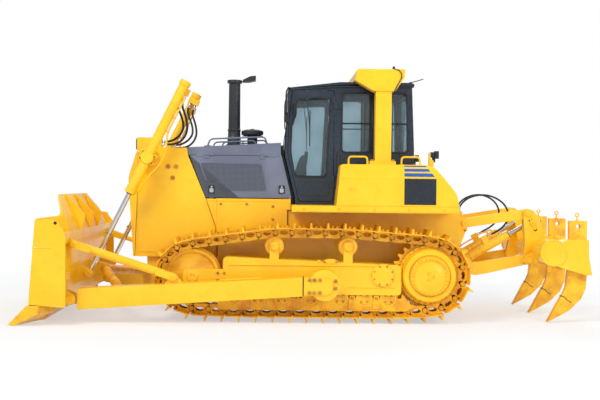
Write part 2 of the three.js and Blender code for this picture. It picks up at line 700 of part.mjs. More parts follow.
// The two armrest consoles with their control levers, on one base beside and before the seat.
function controlConsole() {
  const out = seat.half + 30;
  const boxes = bothSides((span) => box(-760, -250, ...span(out, out + 150), cabFloor, 2060));
  const levers = bothSides((span, side) =>
    join(
      bar([-300, side * (out + 75), 2040], [-285, side * (out + 75), 2190], 14, 10),
      bar([-285, side * (out + 75), 2180], [-283, side * (out + 75), 2250], 28, 12)));
  const dash = plate([[40, cabFloor], [150, cabFloor], [215, 1900], [120, 2170, 30], [50, 2170, 30]], -330, 330);
  const floorPan = box(-760, 120, -out - 60, out + 60, cabFloor, cabFloor + 12);
  const tunnel = cut(floorPan, box(seat.x0, seat.x1 + 20, -seat.half - 1, seat.half + 1, cabFloor - 1, cabFloor + 13));
  return join(tunnel, boxes, levers, dash);
}

// ---------- roll-over frame ----------

// One welded frame: a post and its foot plate on each side, a cross beam, and the cheeks that join them.
function ropsFrame() {
  const { y0, y1, x0, x1, foot, neck, top, under } = rops;
  const beam = [[-579, top, 20], [-1201, top, 20], [-1195, under + 5], [-568, under]];
  const cheek = [
    [-579, top, 20], [-1201, top, 20], [-1195, under + 5], [-1079, neck], [-785, neck], [-556, under - 35, 20],
  ];
  return join(
    plate(beam, -y1, y1),
    bothSides((span) => [
      box(x0, x1, ...span(y0, y1), foot, neck + 60),
      box(x0 - 60, x1 + 70, ...span(y0 - 10, y1 + 20), foot, foot + 46),
      plate(cheek, ...span(y0 - 12, y1 + 6)),
    ]).flat());
}

// ---------- blade and its linkage ----------

// Outline in X and Z between two distances from the centre plane; past the straight middle it sweeps forward.
function swept(corners, y0, y1) {
  const geometry = extrude(outline(corners), y1 - y0).rotateX(Math.PI / 2).translate(0, y1, 0);
  const position = geometry.getAttribute("position");
  for (let i = 0; i < position.count; i += 1) {
    const past = Math.max(0, Math.abs(position.getY(i)) - blade.straight);
    position.setX(i, position.getX(i) + past * blade.wing);
  }
  return solid(geometry);
}

// The whole width of the blade from one outline.
const fullWidth = (corners, half = blade.half) => join(
  swept(corners, -blade.straight, blade.straight),
  bothSides((span) => swept(corners, ...span(blade.straight - 0.01, half))));

const lug = { brace: 66, r: 50, earGap: GAP };
const liftEye = { half: 35, r: 54, ear: 25 };
const ball = { r: 82 };
const sphere = (x, y, z, r) => solid(new THREE.SphereGeometry(r, 14, 8).translate(x, y, z));

function dozerBlade() {
  const { foot, top, guardTop, half } = blade;
  const board = fullWidth([
    [3240, foot], [3165, 450], [3120, 700], [3105, 950], [3125, 1150], [3170, top], [3320, guardTop],
    [3296, guardTop + 6], [3140, top + 10], [3085, 1180], [3062, 1000], [3062, 620], [3092, 520], [3092, foot],
  ]);
  const corners = bothSides((span, side) => wall([
    [side * blade.guardHalf, guardTop + 20], [side * (blade.straight + 60), top + 30],
    [side * (half + 60), top], [side * (half + 60), guardTop + 20],
  ], 2900, 3800));
  const endPlates = bothSides((span) => plate([
    [3400, 1298, 20], [3156, 1308, 40], [3028, 1137, 40], [3015, 229, 30], [3469, 264],
  ], ...span(half - 2, half + blade.plate)));
  const beams = [
    box(3056, 3112, -half, half, 1000, 1140),
    box(3092, 3200, -half, half, foot, 430),
  ];
  const gussets = [-640, 0, 640].map((y) => plate([
    [3095, 1120], [3105, 1165], [3155, 1315], [3300, 1590],
    [3262, 1600, 15], [3010, 1330, 30], [3056, 1120],
  ], y - 18, y + 18));
  const armEars = bothSides((span) => [[1330, 1382], [1500, 1552]].map((y) =>
    ear([3110, arm.pinZ - 45], [3110, arm.pinZ + 120], [arm.pinX, arm.pinZ], 72, ...span(...y)))).flat();
  const armPins = bothSides((span) => across(arm.pinX, arm.pinZ, arm.pinR, ...span(1331, 1564)));
  const braceLugs = bothSides((span) => ear(
    [3070, brace.frontZ - 60], [3070, brace.frontZ + 80], [brace.frontX, brace.frontZ], lug.r,
    ...span(brace.y - lug.brace / 2, brace.y + lug.brace / 2)));
  const liftEars = bothSides((span) => [
    [lift.y - liftEye.half - SWING - liftEye.ear, lift.y - liftEye.half - SWING],
    [lift.y + liftEye.half + SWING, lift.y + liftEye.half + SWING + liftEye.ear],
  ].map((y) => ear([3110, 440], [3110, 740], [lift.rodX, lift.rodZ], 62, ...span(...y)))).flat();
  const centreLug = cut(
    plate([[3110, 420], [3110, 700], [stabiliser.x + 30, stabiliser.z + 78], [stabiliser.x + 30, stabiliser.z - 78]],
      -58, 58),
    sphere(stabiliser.x, 0, stabiliser.z, ball.r + 1));
  return join(cut(board, corners), endPlates, beams, gussets, armEars, armPins, braceLugs, liftEars, centreLug);
}

// The bolted edges along the blade's foot, and the end bits that reach further forward.
function cuttingEdge() {
  const top = blade.foot - GAP;
  const edge = fullWidth([[3242, top], [3428, 14], [3385, 14], [3190, top]], blade.half - 1);
  const bits = bothSides((span) => swept([[3244, top], [3470, 12], [3380, 12], [3100, 150], [3100, top]],
    ...span(1560, blade.half + blade.plate)));
  return join(edge, bits);
}

function pushArm() {
  const { pivotX, pivotZ, y0, y1, front, pinX, pinZ, pinR, ballR } = arm;
  const tongue = [1388, 1494];
  const body = join(
    plate([[pivotX + 60, 384], [pivotX + 60, 616], [front, 436, 20], [front, 176, 20]], y0, y1),
    across(pivotX, pivotZ, 196, y0, y1, 24),
    ear([front - 40, pinZ + 60], [front - 40, pinZ - 60], [pinX, pinZ], 60, ...tongue),
    ear([brace.rearX - 130, 500], [brace.rearX + 130, 480], [brace.rearX, brace.rearZ], lug.r,
      brace.y - lug.brace / 2, brace.y + lug.brace / 2),
    box(stabiliser.armX - 60, stabiliser.armX + 60, y0 - 45, y0 + 1, stabiliser.armZ - 60, stabiliser.armZ + 45));
  return cut(body,
    bore(pivotX, pivotZ, ballR, y0 - 1, y1 - 47, 16),
    bore(pinX, pinZ, pinR, tongue[0] - 1, tongue[1] + 1));
}

const braceEnds = [[brace.rearX, brace.rearZ], [brace.frontX, brace.frontZ]];
const braceAt = (share) => {
  const [x, z] = between(...braceEnds, share);
  return [x, brace.y, z];
};

// The forked ends that hold the lugs of the push arm and of the blade.
function braceForks() {
  const inner = lug.brace / 2 + GAP;
  return [[0, 0.075], [1, 0.925]].flatMap(([pin, root]) => {
    const ears = [-1, 1].map((side) => {
      const y = [inner, inner + 28].map((out) => brace.y + side * out).sort((a, b) => a - b);
      return linkPlate(between(...braceEnds, pin), between(...braceEnds, root), 46, 44, ...y);
    });
    const block = linkPlate(between(...braceEnds, root), between(...braceEnds, 2 * root - pin), 44, 44,
      brace.y - inner - 28, brace.y + inner + 28);
    return [...ears, block];
  });
}

const bladeBrace = () => join(braceForks(), bar(braceAt(0.1), braceAt(0.9), brace.r, 16));

const tiltCylinder = () => join(
  braceForks(), bar(braceAt(0.1), braceAt(0.66), 78, 16), bar(braceAt(0.6), braceAt(0.9), 36, 16),
  bar(braceAt(0.63), braceAt(0.665), 88, 16));

function stabiliserLink() {
  const { x, z, r, armX, armZ } = stabiliser;
  const face = arm.y0 - 45 - GAP;
  const legs = bothSides((span, side) => join(
    bar([x, 0, z], [armX, side * (face - 30), armZ], r, 16),
    box(armX - 58, armX + 58, ...span(face - 60, face), armZ - 56, armZ + 44)));
  return join(legs, sphere(x, 0, z, ball.r));
}

const liftLine = [[lift.pivotX, lift.pivotZ], [lift.rodX, lift.rodZ]];
const liftLength = Math.hypot(lift.rodX - lift.pivotX, lift.rodZ - lift.pivotZ);
const liftAt = (distance) => {
  const [x, z] = between(...liftLine, distance / liftLength);
  return [x, lift.y, z];
};
const liftHead = -Math.hypot(lift.pivotX - lift.headX, lift.headZ - lift.pivotZ);

// The block on the inner face of the barrel, near its head, that the hoses end in.
const hoseBlock = () => {
  const back = (distance, off) => between([lift.pivotX, lift.pivotZ], [lift.headX, lift.headZ], distance / -liftHead, off);
  return plate([back(950, -45), back(1040, -45), back(1040, 115), back(950, 115)], 785, lift.y - lift.barrelR + 13);
};

function liftBarrel() {
  const { pivotX, pivotZ, y, barrelR, rodR, trunnionR, glandOut } = lift;
  const body = join(
    bar(liftAt(liftHead), liftAt(glandOut), barrelR, 16),
    bar(liftAt(liftHead), liftAt(liftHead + 60), barrelR + 9, 16),
    bar(liftAt(glandOut - 90), liftAt(glandOut), barrelR + 9, 16),
    across(pivotX, pivotZ, 82, liftBracket.y + SWING, y + barrelR + 10, 16),
    hoseBlock());
  return cut(body,
    bore(pivotX, pivotZ, trunnionR, liftBracket.y, y - barrelR + 24),
    bar(liftAt(liftHead + 30), liftAt(glandOut + 1), rodR + RUN, 16));
}

const liftRod = () => join(
  bar(liftAt(-100), liftAt(liftLength - 20), lift.rodR, 16),
  bar(liftAt(liftLength - 130), liftAt(liftLength - 20), lift.rodR + 5, 16),
  across(lift.rodX, lift.rodZ, liftEye.r, lift.y - liftEye.half, lift.y + liftEye.half, 16));

// A lift hose leaves the block on the guard backwards, rises and ends along the barrel, in the block on it.
const liftHose = { r: 15, steps: 30 };
const liftHoseRoute = [
  [2000.5, 600, 2325], [1940, 600, 2325], [1870, 622, 2335], [1775, 670, 2390], [1712, 720, 2475],
  [1705, 765, 2570], [1735, 800, 2680], [1775, 822, 2780], [1793, 828, 2850], [1771, 828, 2904],
  [1745, 828, 2958],
];

// ---------- ripper ----------

const low = [[ripper.lowX, ripper.lowZ], [ripper.beamLowX, ripper.beamLowZ]];
const high = [[ripper.highX, ripper.highZ], [ripper.beamHighX, ripper.beamHighZ]];

// The two lower arms with the plate that ties them.
function lowerLink() {
  const arms = bothSides((span) => {
    const y = span(ripperY.armIn, ripperY.armOut);
    return cut(
      join(
        linkPlate(...low, 70, 65, ...y),
        plate([
          between(...low, 0.03, 60), between(...low, 0.15, 104), between(...low, 0.36, 100), between(...low, 0.98, 60),
        ], ...y)),
      bore(...low[0], ripper.lowPinR, y[0] - 1, y[1] + 1), bore(...low[1], ripper.lowPinR, y[0] - 1, y[1] + 1));
  });
  const tie = plate([
    between(...low, 0.38, 50), between(...low, 0.38, 92), between(...low, 0.72, 72), between(...low, 0.72, 40),
  ], -ripperY.armIn - 1, ripperY.armIn + 1);
  return join(arms, tie);
}

function upperLink() {
  const y = [ripperY.linkIn, ripperY.linkOut];
  return cut(
    linkPlate(...high, 62, 66, ...y),
    bore(...high[0], ripper.highPinR, y[0] - 1, y[1] + 1), bore(...high[1], ripper.highPinR, y[0] - 1, y[1] + 1));
}

const shankSide = (() => {
  const { shankX: x, shankWidth: w, shankTop } = ripper;
  const front = x + w / 2;
  const back = x - w / 2;
  return [
    [front, shankTop], [back, shankTop], [back - 5, 607], [back + 6, 453], [back + 71, 307],
    [back + 224, 171], [front + 273, 18], [front + 116, 290], [front + 38, 465], [front + 21, 658], [front, 760],
  ];
})();
const shankPlaces = [ripper.spacing, 0, -ripper.spacing];
const shankPinR = 30;

function ripperShank(y) {
  const half = ripper.shankThick / 2;
  return cut(plate(shankSide, y - half, y + half),
    across(ripper.shankX, ripper.shankTop - 73, 31, y - half - 1, y + half + 1),
    bore(ripper.shankX + 15, ripper.pinZ, shankPinR, y - half - 1, y + half + 1));
}

function ripperBeam() {
  const { tubeX, tubeZ, tubeR, tubeHalf, pocket, shankThick, plate: t } = ripper;
  const [p0, p1, p2, p3] = ripperY.plates;
  const pocketSide = [
    [tubeX, tubeZ + tubeR - 2], [tubeX - 110, 1062], [tubeX - 170, 1090, 30], [-3592, 1090, 10], [-3600, 850],
    [-3640, 635], [-3560, 637], [-3330, 700, 60], [tubeX, tubeZ - tubeR + 4],
  ];
  const pockets = shankPlaces.map((y) => {
    const out = Math.min(Math.abs(y) + pocket / 2 + 73, tubeHalf);
    const span = y ? [Math.abs(y) - pocket / 2, out].map((v) => v * Math.sign(y)).sort((a, b) => a - b)
      : [-pocket / 2, pocket / 2];
    return cut(plate(pocketSide, ...span), plate(grow(shankSide, RUN), y - shankThick / 2 - RUN, y + shankThick / 2 + RUN));
  });
  const shankPins = shankPlaces.map((y) =>
    across(ripper.shankX + 15, ripper.pinZ, shankPinR, y - pocket / 2 - 8, y + pocket / 2 + 8));
  const tower = [
    [-2885, 1376, 20], [-2888, 1452, 40], [-2985, 1478, 50], [-3064, 1400], [-3176, 1150], [tubeX, tubeZ],
    [-2992, 740], [-2900, 728, 30], [-2874, 790, 30], [-2915, 1000],
  ];
  const inner = [[-2956, 1290, 20], [-2992, 1342, 30], [-3078, 1300, 30], [-3176, 1150], [tubeX, tubeZ], [-3000, 1010]];
  const outer = [[-2874, 740, 40], [-2874, 850, 40], [-3000, 905], [tubeX, 1040], [tubeX, 800], [-2990, 738]];
  return join(
    across(tubeX, tubeZ, tubeR, -tubeHalf, tubeHalf, 24),
    pockets, shankPins,
    plateSet(inner, [p0]), plateSet(tower, [p1, p2]), plateSet(outer, [p3]),
    pinSet(...low[1], ripper.lowPinR, p2, p3 + t + PIN_OVER),
    pinSet(...high[1], ripper.highPinR, p1, p2 + t + PIN_OVER));
}

const ripLine = [[ripper.cylX, ripper.cylZ], [ripper.rodX, ripper.rodZ]];
const ripLength = Math.hypot(ripper.rodX - ripper.cylX, ripper.rodZ - ripper.cylZ);
const ripY = ripper.inner + ripper.eye / 2;
const ripAt = (distance) => {
  const [x, z] = between(...ripLine, distance / ripLength);
  return [x, ripY, z];
};

// A point beside the barrel's line, where the block on its top has its corners.
const ripperPort = (distance, off) => between(...ripLine, distance / ripLength, off);

function ripperBarrel() {
  const { cylX, cylZ, barrelR, barrel, rodR, cylPinR, eye } = ripper;
  return cut(
    join(
      bar(ripAt(20), ripAt(barrel), barrelR - 5, 16), bar(ripAt(barrel - 110), ripAt(barrel), barrelR, 16),
      across(cylX, cylZ, 56, ripY - eye / 2, ripY + eye / 2, 16),
      plate([
        ripperPort(370, -40), ripperPort(370, -150), ripperPort(455, -150), ripperPort(455, -40),
      ], ripY - 36, ripY + 36)),
    bore(cylX, cylZ, cylPinR, ripY - eye / 2 - 1, ripY + eye / 2 + 1),
    bar(ripAt(130), ripAt(barrel + 1), rodR + RUN, 16));
}

const ripperRod = () => join(
  bar(ripAt(420), ripAt(ripLength - 10), ripper.rodR, 16),
  across(ripper.rodX, ripper.rodZ, 50, ripY - ripper.eye / 2, ripY + ripper.eye / 2, 16));

// A ripper hose rises from the hull's rear block, arches between the upper links and ends on the barrel.
const ripperHose = { r: 12.5, steps: 34 };
const ripperHoseRoute = [
  [-2100, 90, 1420.5], [-2100, 90, 1470], [-2135, 94, 1530], [-2200, 104, 1590], [-2306, 128, 1636],
  [-2437, 165, 1650], [-2560, 205, 1618], [-2660, 240, 1552], [-2722, 268, 1460], [-2735, 288, 1370],
  [-2706, 303, 1282], [-2660, 313, 1222], [-2600, 321, 1175], [-2537, 326, 1139], [-2485, 328, 1109],
  [-2433, 328, 1079],
];

// ---------- the whole machine ----------

const { yellow, slate, cabPaint, glass, black, chrome, castIron, rubber } = finish;

addPair("track", trackLoop(), yellow);
addPair("idler", idlerWheel(), yellow);
addPair("sprocket", drivingSprocket(), yellow);
addPair("track_frame", trackFrame(), yellow);
add("main_hull", mainHull(), yellow);
add("radiator_guard", radiatorGuard(), yellow);
add("radiator_mask", radiatorMask(), yellow);
add("engine_block", engineBlock(), castIron);
add("engine_hood", engineHood(), slate);
addPair("engine_cover", engineCover(), slate);
add("exhaust_stack", exhaustStack(), black);
add("air_precleaner", airPrecleaner(), black);
add("platform_deck", platformDeck(), yellow);
addPair("fender", sideFender(), yellow);
add("fuel_tank", fuelTank(), yellow);
add("cab_frame", cabFrame(), cabPaint);
add("cab_roof", cabRoof(), cabPaint);
addPair("cab_door", cabDoor(), cabPaint);
addPair("door_glass", doorGlass(), glass);
addPair("side_window", sideWindow(), glass);
add("windshield", windscreen(), glass);
add("rear_window", rearWindow(), glass);
add("operator_seat", operatorSeat(), black);
add("control_console", controlConsole(), black);
add("rops_frame", ropsFrame(), yellow);
add("blade", dozerBlade(), yellow);
add("cutting_edge", cuttingEdge(), yellow);
addPair("push_arm", pushArm(), yellow);
add("blade_brace", bladeBrace(), yellow);
add("tilt_cylinder", tiltCylinder(), yellow).scale.y = -1;
add("stabiliser_link", stabiliserLink(), yellow);
addPair("lift_cylinder", liftBarrel(), yellow);
addPair("lift_rod", liftRod(), chrome);
addPair("lift_hose", tube(liftHoseRoute, liftHose.r, liftHose.steps), rubber);
add("ripper_lower_link", lowerLink(), yellow);
addPair("ripper_upper_link", upperLink(), yellow);
add("ripper_beam", ripperBeam(), yellow);
["left", "centre", "right"].forEach((name, i) =>
  add("ripper_shank_" + name, ripperShank(shankPlaces[i]), yellow));
addPair("ripper_cylinder", ripperBarrel(), yellow);
addPair("ripper_rod", ripperRod(), chrome);
addPair("ripper_hose", tube(ripperHoseRoute, ripperHose.r, ripperHose.steps), rubber);

export default machine;
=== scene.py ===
import math

import bmesh
import bpy
from mathutils import Euler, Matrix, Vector
from mathutils.geometry import tessellate_polygon


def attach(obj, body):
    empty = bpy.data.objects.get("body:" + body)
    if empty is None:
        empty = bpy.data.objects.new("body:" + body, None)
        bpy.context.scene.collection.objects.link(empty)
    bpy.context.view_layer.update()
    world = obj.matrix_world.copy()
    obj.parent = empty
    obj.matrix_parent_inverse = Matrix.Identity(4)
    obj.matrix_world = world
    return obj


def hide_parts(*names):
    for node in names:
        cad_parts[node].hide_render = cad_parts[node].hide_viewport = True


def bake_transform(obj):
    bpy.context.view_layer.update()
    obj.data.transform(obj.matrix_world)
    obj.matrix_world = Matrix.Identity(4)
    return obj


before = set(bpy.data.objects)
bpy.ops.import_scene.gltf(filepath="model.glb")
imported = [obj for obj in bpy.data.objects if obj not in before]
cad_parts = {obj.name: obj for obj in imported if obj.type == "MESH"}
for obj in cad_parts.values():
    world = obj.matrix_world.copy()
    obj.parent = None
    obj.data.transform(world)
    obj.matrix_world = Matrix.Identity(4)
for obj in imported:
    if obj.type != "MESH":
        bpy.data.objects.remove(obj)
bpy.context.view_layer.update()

SIDES = {"left": 1, "right": -1}
UP, FORWARD, LEFT = Vector((0, 0, 1)), Vector((1, 0, 0)), Vector((0, 1, 0))


# ---------- camera ----------

def make_camera():
    """Stands off the operator's left side and looks straight across the machine."""
    data = bpy.data.cameras.new("camera")
    data.lens = 59.4
    data.sensor_width = 36
    data.shift_x, data.shift_y = 0.0417, -0.026
    camera = bpy.data.objects.new("camera", data)
    camera.location = (0.476, 13.9, 1.765)
    camera.rotation_euler = Euler((math.radians(90), math.radians(-0.65), math.radians(180)))
    bpy.context.scene.collection.objects.link(camera)
    bpy.context.scene.camera = camera


make_camera()


# ---------- materials ----------

def linear(colour):
    """An sRGB hex colour, as linear red, green, blue and alpha."""
    parts = [int(colour[i:i + 2], 16) / 255 for i in (1, 3, 5)]
    return [c / 12.92 if c <= 0.04045 else ((c + 0.055) / 1.055) ** 2.4 for c in parts] + [1.0]


def add(tree, kind, feeds=None, **settings):
    """Adds a node with its settings; feeds gives each input a plain value or another node's output."""
    node = tree.nodes.new(kind)
    for name, value in settings.items():
        setattr(node, name, value)
    for name, source in (feeds or {}).items():
        if isinstance(source, bpy.types.NodeSocket):
            tree.links.new(source, node.inputs[name])
        else:
            node.inputs[name].default_value = source
    return node


def begin(name, **shader):
    """A new material with its shader's plain values: gives the material, its tree and its shader."""
    material = bpy.data.materials.new(name)
    material.use_nodes = True
    tree = material.node_tree
    tree.nodes.clear()
    bsdf = add(tree, "ShaderNodeBsdfPrincipled", shader)
    output = add(tree, "ShaderNodeOutputMaterial")
    tree.links.new(bsdf.outputs[0], output.inputs[0])
    return material, tree, bsdf


def noise(tree, size, detail=3.0, stretch=(1, 1, 1)):
    """Noise whose lumps are about size metres across, fixed to the piece; stretch flattens it by axis."""
    place = add(tree, "ShaderNodeTexCoord").outputs["Object"]
    scaled = add(tree, "ShaderNodeMapping", {0: place, 3: [s / size for s in stretch]}).outputs[0]
    return add(tree, "ShaderNodeTexNoise", {"Vector": scaled, "Scale": 1.0,
                                            "Detail": detail}).outputs["Fac"]


def between(tree, value, low, high, to_low=0.0, to_high=1.0):
    """A value's stretch from low to high, mapped to another one and clamped."""
    feeds = {"Value": value, "From Min": low, "From Max": high, "To Min": to_low, "To Max": to_high}
    return add(tree, "ShaderNodeMapRange", feeds, interpolation_type="SMOOTHSTEP").outputs[0]


def product(tree, a, b):
    return add(tree, "ShaderNodeMath", {0: a, 1: b}, operation="MULTIPLY").outputs[0]


def blended(tree, share, a, b):
    """Colour a turned into colour b by share; each is a hex colour or an output."""
    a, b = (linear(c) if isinstance(c, str) else c for c in (a, b))
    return add(tree, "ShaderNodeMix", {0: share, 6: a, 7: b}, data_type="RGBA").outputs[2]


def relief(tree, bsdf, height, depth, base=None):
    """Turns a height pattern into bumps that deep, in metres."""
    feeds = {"Height": height, "Distance": depth, "Strength": 1.0}
    if base is not None:
        feeds["Normal"] = base
    bump = add(tree, "ShaderNodeBump", feeds)
    tree.links.new(bump.outputs[0], bsdf.inputs["Normal"])


EDGE = 0.006  # radius at which the coating thins over a sheared or flame-cut edge, and over which edges are painted lighter as a highlight, metres


def edges(tree):
    """The rounded normal at sharp edges, and how strongly a spot lies on such an edge, from 0 to 1."""
    rounded = add(tree, "ShaderNodeBevel", {"Radius": EDGE}, samples=4).outputs[0]
    flat = add(tree, "ShaderNodeNewGeometry").outputs["Normal"]
    same = add(tree, "ShaderNodeVectorMath", {0: rounded, 1: flat},
               operation="DOT_PRODUCT").outputs["Value"]
    return rounded, between(tree, same, 0.995, 0.86)


def facing_up(tree):
    """1 where a surface faces the sky, 0 from about 45 degrees down."""
    normal = add(tree, "ShaderNodeNewGeometry").outputs["Normal"]
    return between(tree, add(tree, "ShaderNodeSeparateXYZ", {0: normal}).outputs[2], 0.6, 0.98)


def enamel(name, colour, light, deep, rough=0.34, chips_and_highlight=0.35, dusty=0.16):
    """Alkyd enamel sprayed on steel plate: a gloss coat with faint orange peel, uneven film, light dust,
    and edges painted lighter, partly as chipped wear and partly as a painted highlight.
    """
    material, tree, bsdf = begin(name, **{
        "IOR": 1.5, "Metallic": 0.0, "Coat Weight": 0.15, "Coat Roughness": 0.2})
    film = between(tree, noise(tree, 0.45, 2.0), 0.3, 0.7)
    coat = blended(tree, film, colour, light)
    pooled = between(tree, noise(tree, 0.11, 4.0), 0.5, 0.8, 0.0, 0.3)
    coat = blended(tree, pooled, coat, deep)
    rounded, edge = edges(tree)
    # Lighter along sharp edges: partly chipped paint, partly a painted highlight.
    worn_and_highlit = product(tree, edge, between(tree, noise(tree, 0.05, 3.0), 0.45, 0.62, 0.0, chips_and_highlight))
    coat = blended(tree, worn_and_highlit, coat, light)
    dust = product(tree, facing_up(tree), between(tree, noise(tree, 0.2, 5.0), 0.35, 0.75, 0.0, dusty))
    coat = blended(tree, dust, coat, "#D8C8A0")
    tree.links.new(coat, bsdf.inputs["Base Color"])
    gloss = between(tree, noise(tree, 0.07, 4.0), 0.3, 0.7, rough - 0.06, rough + 0.1)
    tree.links.new(gloss, bsdf.inputs["Roughness"])
    relief(tree, bsdf, noise(tree, 0.012, 1.0), 0.00025, rounded)
    return material


def cast_steel(name, colour, deep, shine=0.3):
    """Cast or forged steel under thin paint: sand-cast grain, and working edges painted paler, partly paint
    rubbed thin and partly a painted highlight.
    """
    material, tree, bsdf = begin(name, **{"IOR": 1.5, "Coat Weight": 0.1, "Coat Roughness": 0.3})
    grain = noise(tree, 0.018, 5.0)
    coat = blended(tree, between(tree, noise(tree, 0.16, 4.0), 0.35, 0.7), colour, deep)
    rounded, edge = edges(tree)
    # Pale yellow along edges: partly paint rubbed through, partly a painted highlight.
    rubbed_and_highlit = product(tree, edge, between(tree, noise(tree, 0.04, 3.0), 0.4, 0.6, 0.0, shine))
    coat = blended(tree, rubbed_and_highlit, coat, "#FFE68A")
    tree.links.new(coat, bsdf.inputs["Base Color"])
    tree.links.new(between(tree, grain, 0.3, 0.7, 0.42, 0.62), bsdf.inputs["Roughness"])
    relief(tree, bsdf, grain, 0.0012, rounded)
    return material


def hard_chrome():
    """Hard chrome plated, ground and polished rod: bright, with very fine rings round it."""
    material, tree, bsdf = begin("hard_chrome_ground", **{"Metallic": 1.0, "Base Color": linear("#D9DCE0")})
    smear = noise(tree, 0.06, 3.0)
    tree.links.new(between(tree, smear, 0.3, 0.7, 0.1, 0.24), bsdf.inputs["Roughness"])
    relief(tree, bsdf, noise(tree, 0.003, 0.0), 0.00002)
    return material


def bare_steel():
    """Ground wear steel: dull grey, scoured along its length."""
    material, tree, bsdf = begin("wear_steel_scoured", **{"Metallic": 1.0})
    scour = noise(tree, 0.06, 6.0, (1, 8, 8))
    coat = blended(tree, between(tree, scour, 0.3, 0.7), "#4A4846", "#8B8883")
    tree.links.new(coat, bsdf.inputs["Base Color"])
    tree.links.new(between(tree, scour, 0.3, 0.7, 0.35, 0.6), bsdf.inputs["Roughness"])
    relief(tree, bsdf, scour, 0.0008)
    return material


def safety_glass():
    """Laminated safety glass, float with a grey-green tint: sharp reflections, dim view through."""
    material, tree, bsdf = begin("laminated_glass_tinted", **{
        "IOR": 1.52, "Transmission Weight": 0.94, "Specular IOR Level": 0.6})
    haze = between(tree, noise(tree, 0.5, 3.0), 0.3, 0.7)
    tree.links.new(blended(tree, haze, "#AAC1C9", "#C0D3DA"), bsdf.inputs["Base Color"])
    tree.links.new(between(tree, noise(tree, 0.08, 4.0), 0.4, 0.8, 0.0, 0.03), bsdf.inputs["Roughness"])
    return material


def moulded(name, colour, deep, rough=0.6, grain=0.004):
    """Moulded rubber or plastic: matt, with a fine leather-like skin."""
    material, tree, bsdf = begin(name, **{"IOR": 1.49})
    skin = noise(tree, grain, 2.0)
    tree.links.new(blended(tree, between(tree, noise(tree, 0.09), 0.3, 0.7), colour, deep),
                   bsdf.inputs["Base Color"])
    tree.links.new(between(tree, skin, 0.3, 0.7, rough - 0.08, rough + 0.1), bsdf.inputs["Roughness"])
    relief(tree, bsdf, skin, 0.0003)
    return material


def perforated():
    """Perforated steel screen in dark enamel: staggered round holes, drawn at 16 mm spacing to show."""
    material, tree, bsdf = begin("perforated_screen_enamel", **{"IOR": 1.5})
    place = add(tree, "ShaderNodeTexCoord").outputs["Object"]
    scaled = add(tree, "ShaderNodeMapping", {0: place, 3: [1 / 0.016] * 3}).outputs[0]
    cell = add(tree, "ShaderNodeTexVoronoi", {"Vector": scaled, "Scale": 1.0, "Randomness": 0.0})
    # The holes are painted dark: painted shade of the bay seen through them.
    hole = between(tree, cell.outputs["Distance"], 0.42, 0.3)
    tree.links.new(blended(tree, hole, "#5C6573", "#1C2027"), bsdf.inputs["Base Color"])
    tree.links.new(between(tree, hole, 0.0, 1.0, 0.45, 0.8), bsdf.inputs["Roughness"])
    relief(tree, bsdf, between(tree, hole, 0.0, 1.0, 1.0, 0.0), 0.002)
    return material


def lamp_lens():
    """Moulded glass lens over a bright reflector, with pressed flutes 12 mm apart."""
    material, tree, bsdf = begin("fluted_lamp_glass", **{"IOR": 1.52, "Metallic": 0.3})
    place = add(tree, "ShaderNodeTexCoord").outputs["Object"]
    flute = add(tree, "ShaderNodeTexWave", {"Vector": place, "Scale": 1 / 0.024}, bands_direction="Y")
    tree.links.new(blended(tree, flute.outputs["Fac"], "#C9D3DA", "#F4F8FA"), bsdf.inputs["Base Color"])
    tree.links.new(between(tree, flute.outputs["Fac"], 0, 1, 0.08, 0.2), bsdf.inputs["Roughness"])
    relief(tree, bsdf, flute.outputs["Fac"], 0.001)
    return material


# One finish for each kind of surface: its material, and the record's slot that it belongs to.
FINISHES = {
    "yellow": (enamel("yellow_enamel_sprayed", "#FFC306", "#FFCD1C", "#EDAC02"), "yellow_enamel"),
    "slate": (enamel("slate_enamel_sprayed", "#656B7E", "#757C90", "#545A6B", 0.4, 0.35, 0.08),
              "slate_enamel"),
    "shade": (enamel("dark_corner_enamel", "#3E424D", "#4B505C", "#33363F", 0.45), "slate_enamel"),
    "cab": (enamel("cab_enamel_sprayed", "#202B39", "#26323F", "#1A2430", 0.3, 0.2, 0.04), "cab_enamel"),
    "black": (enamel("black_heat_enamel", "#1D1E21", "#2B2D31", "#131416", 0.5, 0.2), "black_enamel"),
    "night": (enamel("navy_vinyl_film", "#172029", "#1F2934", "#121A23", 0.3, 0.0), "cab_enamel"),
    "blue": (enamel("blue_vinyl_film", "#1F55A8", "#2A62B5", "#1A4890", 0.3, 0.0), "yellow_enamel"),
    "cast": (cast_steel("cast_steel_painted", "#FFC414", "#E29C10"), "cast_iron"),
    # Bolt heads darker than the yellow they sit on: painted shade, in place of the shadows round the small
    # heads.
    "bolt": (cast_steel("bolt_heads_painted_shade", "#D08C0E", "#A96A0A", 0.5), "cast_iron"),
    "wear": (bare_steel(), "cast_iron"),
    "chrome": (hard_chrome(), "hard_chrome"),
    "glass": (safety_glass(), "glazing"),
    "rubber": (moulded("epdm_rubber_extruded", "#16171A", "#202226", 0.55), "black_trim"),
    "hose": (moulded("nitrile_hose_cloth_cured", "#141517", "#1F2124", 0.5, 0.003), "hose_rubber"),
    "plastic": (moulded("black_nylon_moulded", "#1E2024", "#2A2D32", 0.45), "black_trim"),
    "vinyl": (moulded("seat_vinyl_grained", "#24262B", "#31343A", 0.62, 0.006), "black_trim"),
    "screen": (perforated(), "slate_enamel"),
    "lens": (lamp_lens(), "glazing"),
}


def finish_nodes(finish, *nodes):
    """Gives CAD nodes a finish in place of their plain colour."""
    for node in nodes:
        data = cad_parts[node].data
        data.materials.clear()
        data.materials.append(FINISHES[finish][0])


# ---------- mesh making ----------

def basis(axis):
    """Two directions across an axis, and the axis itself, as a right-handed set."""
    w = Vector(axis).normalized()
    u = (LEFT if abs(w.z) > 0.9 else UP).cross(w).normalized()
    return u, w.cross(u), w


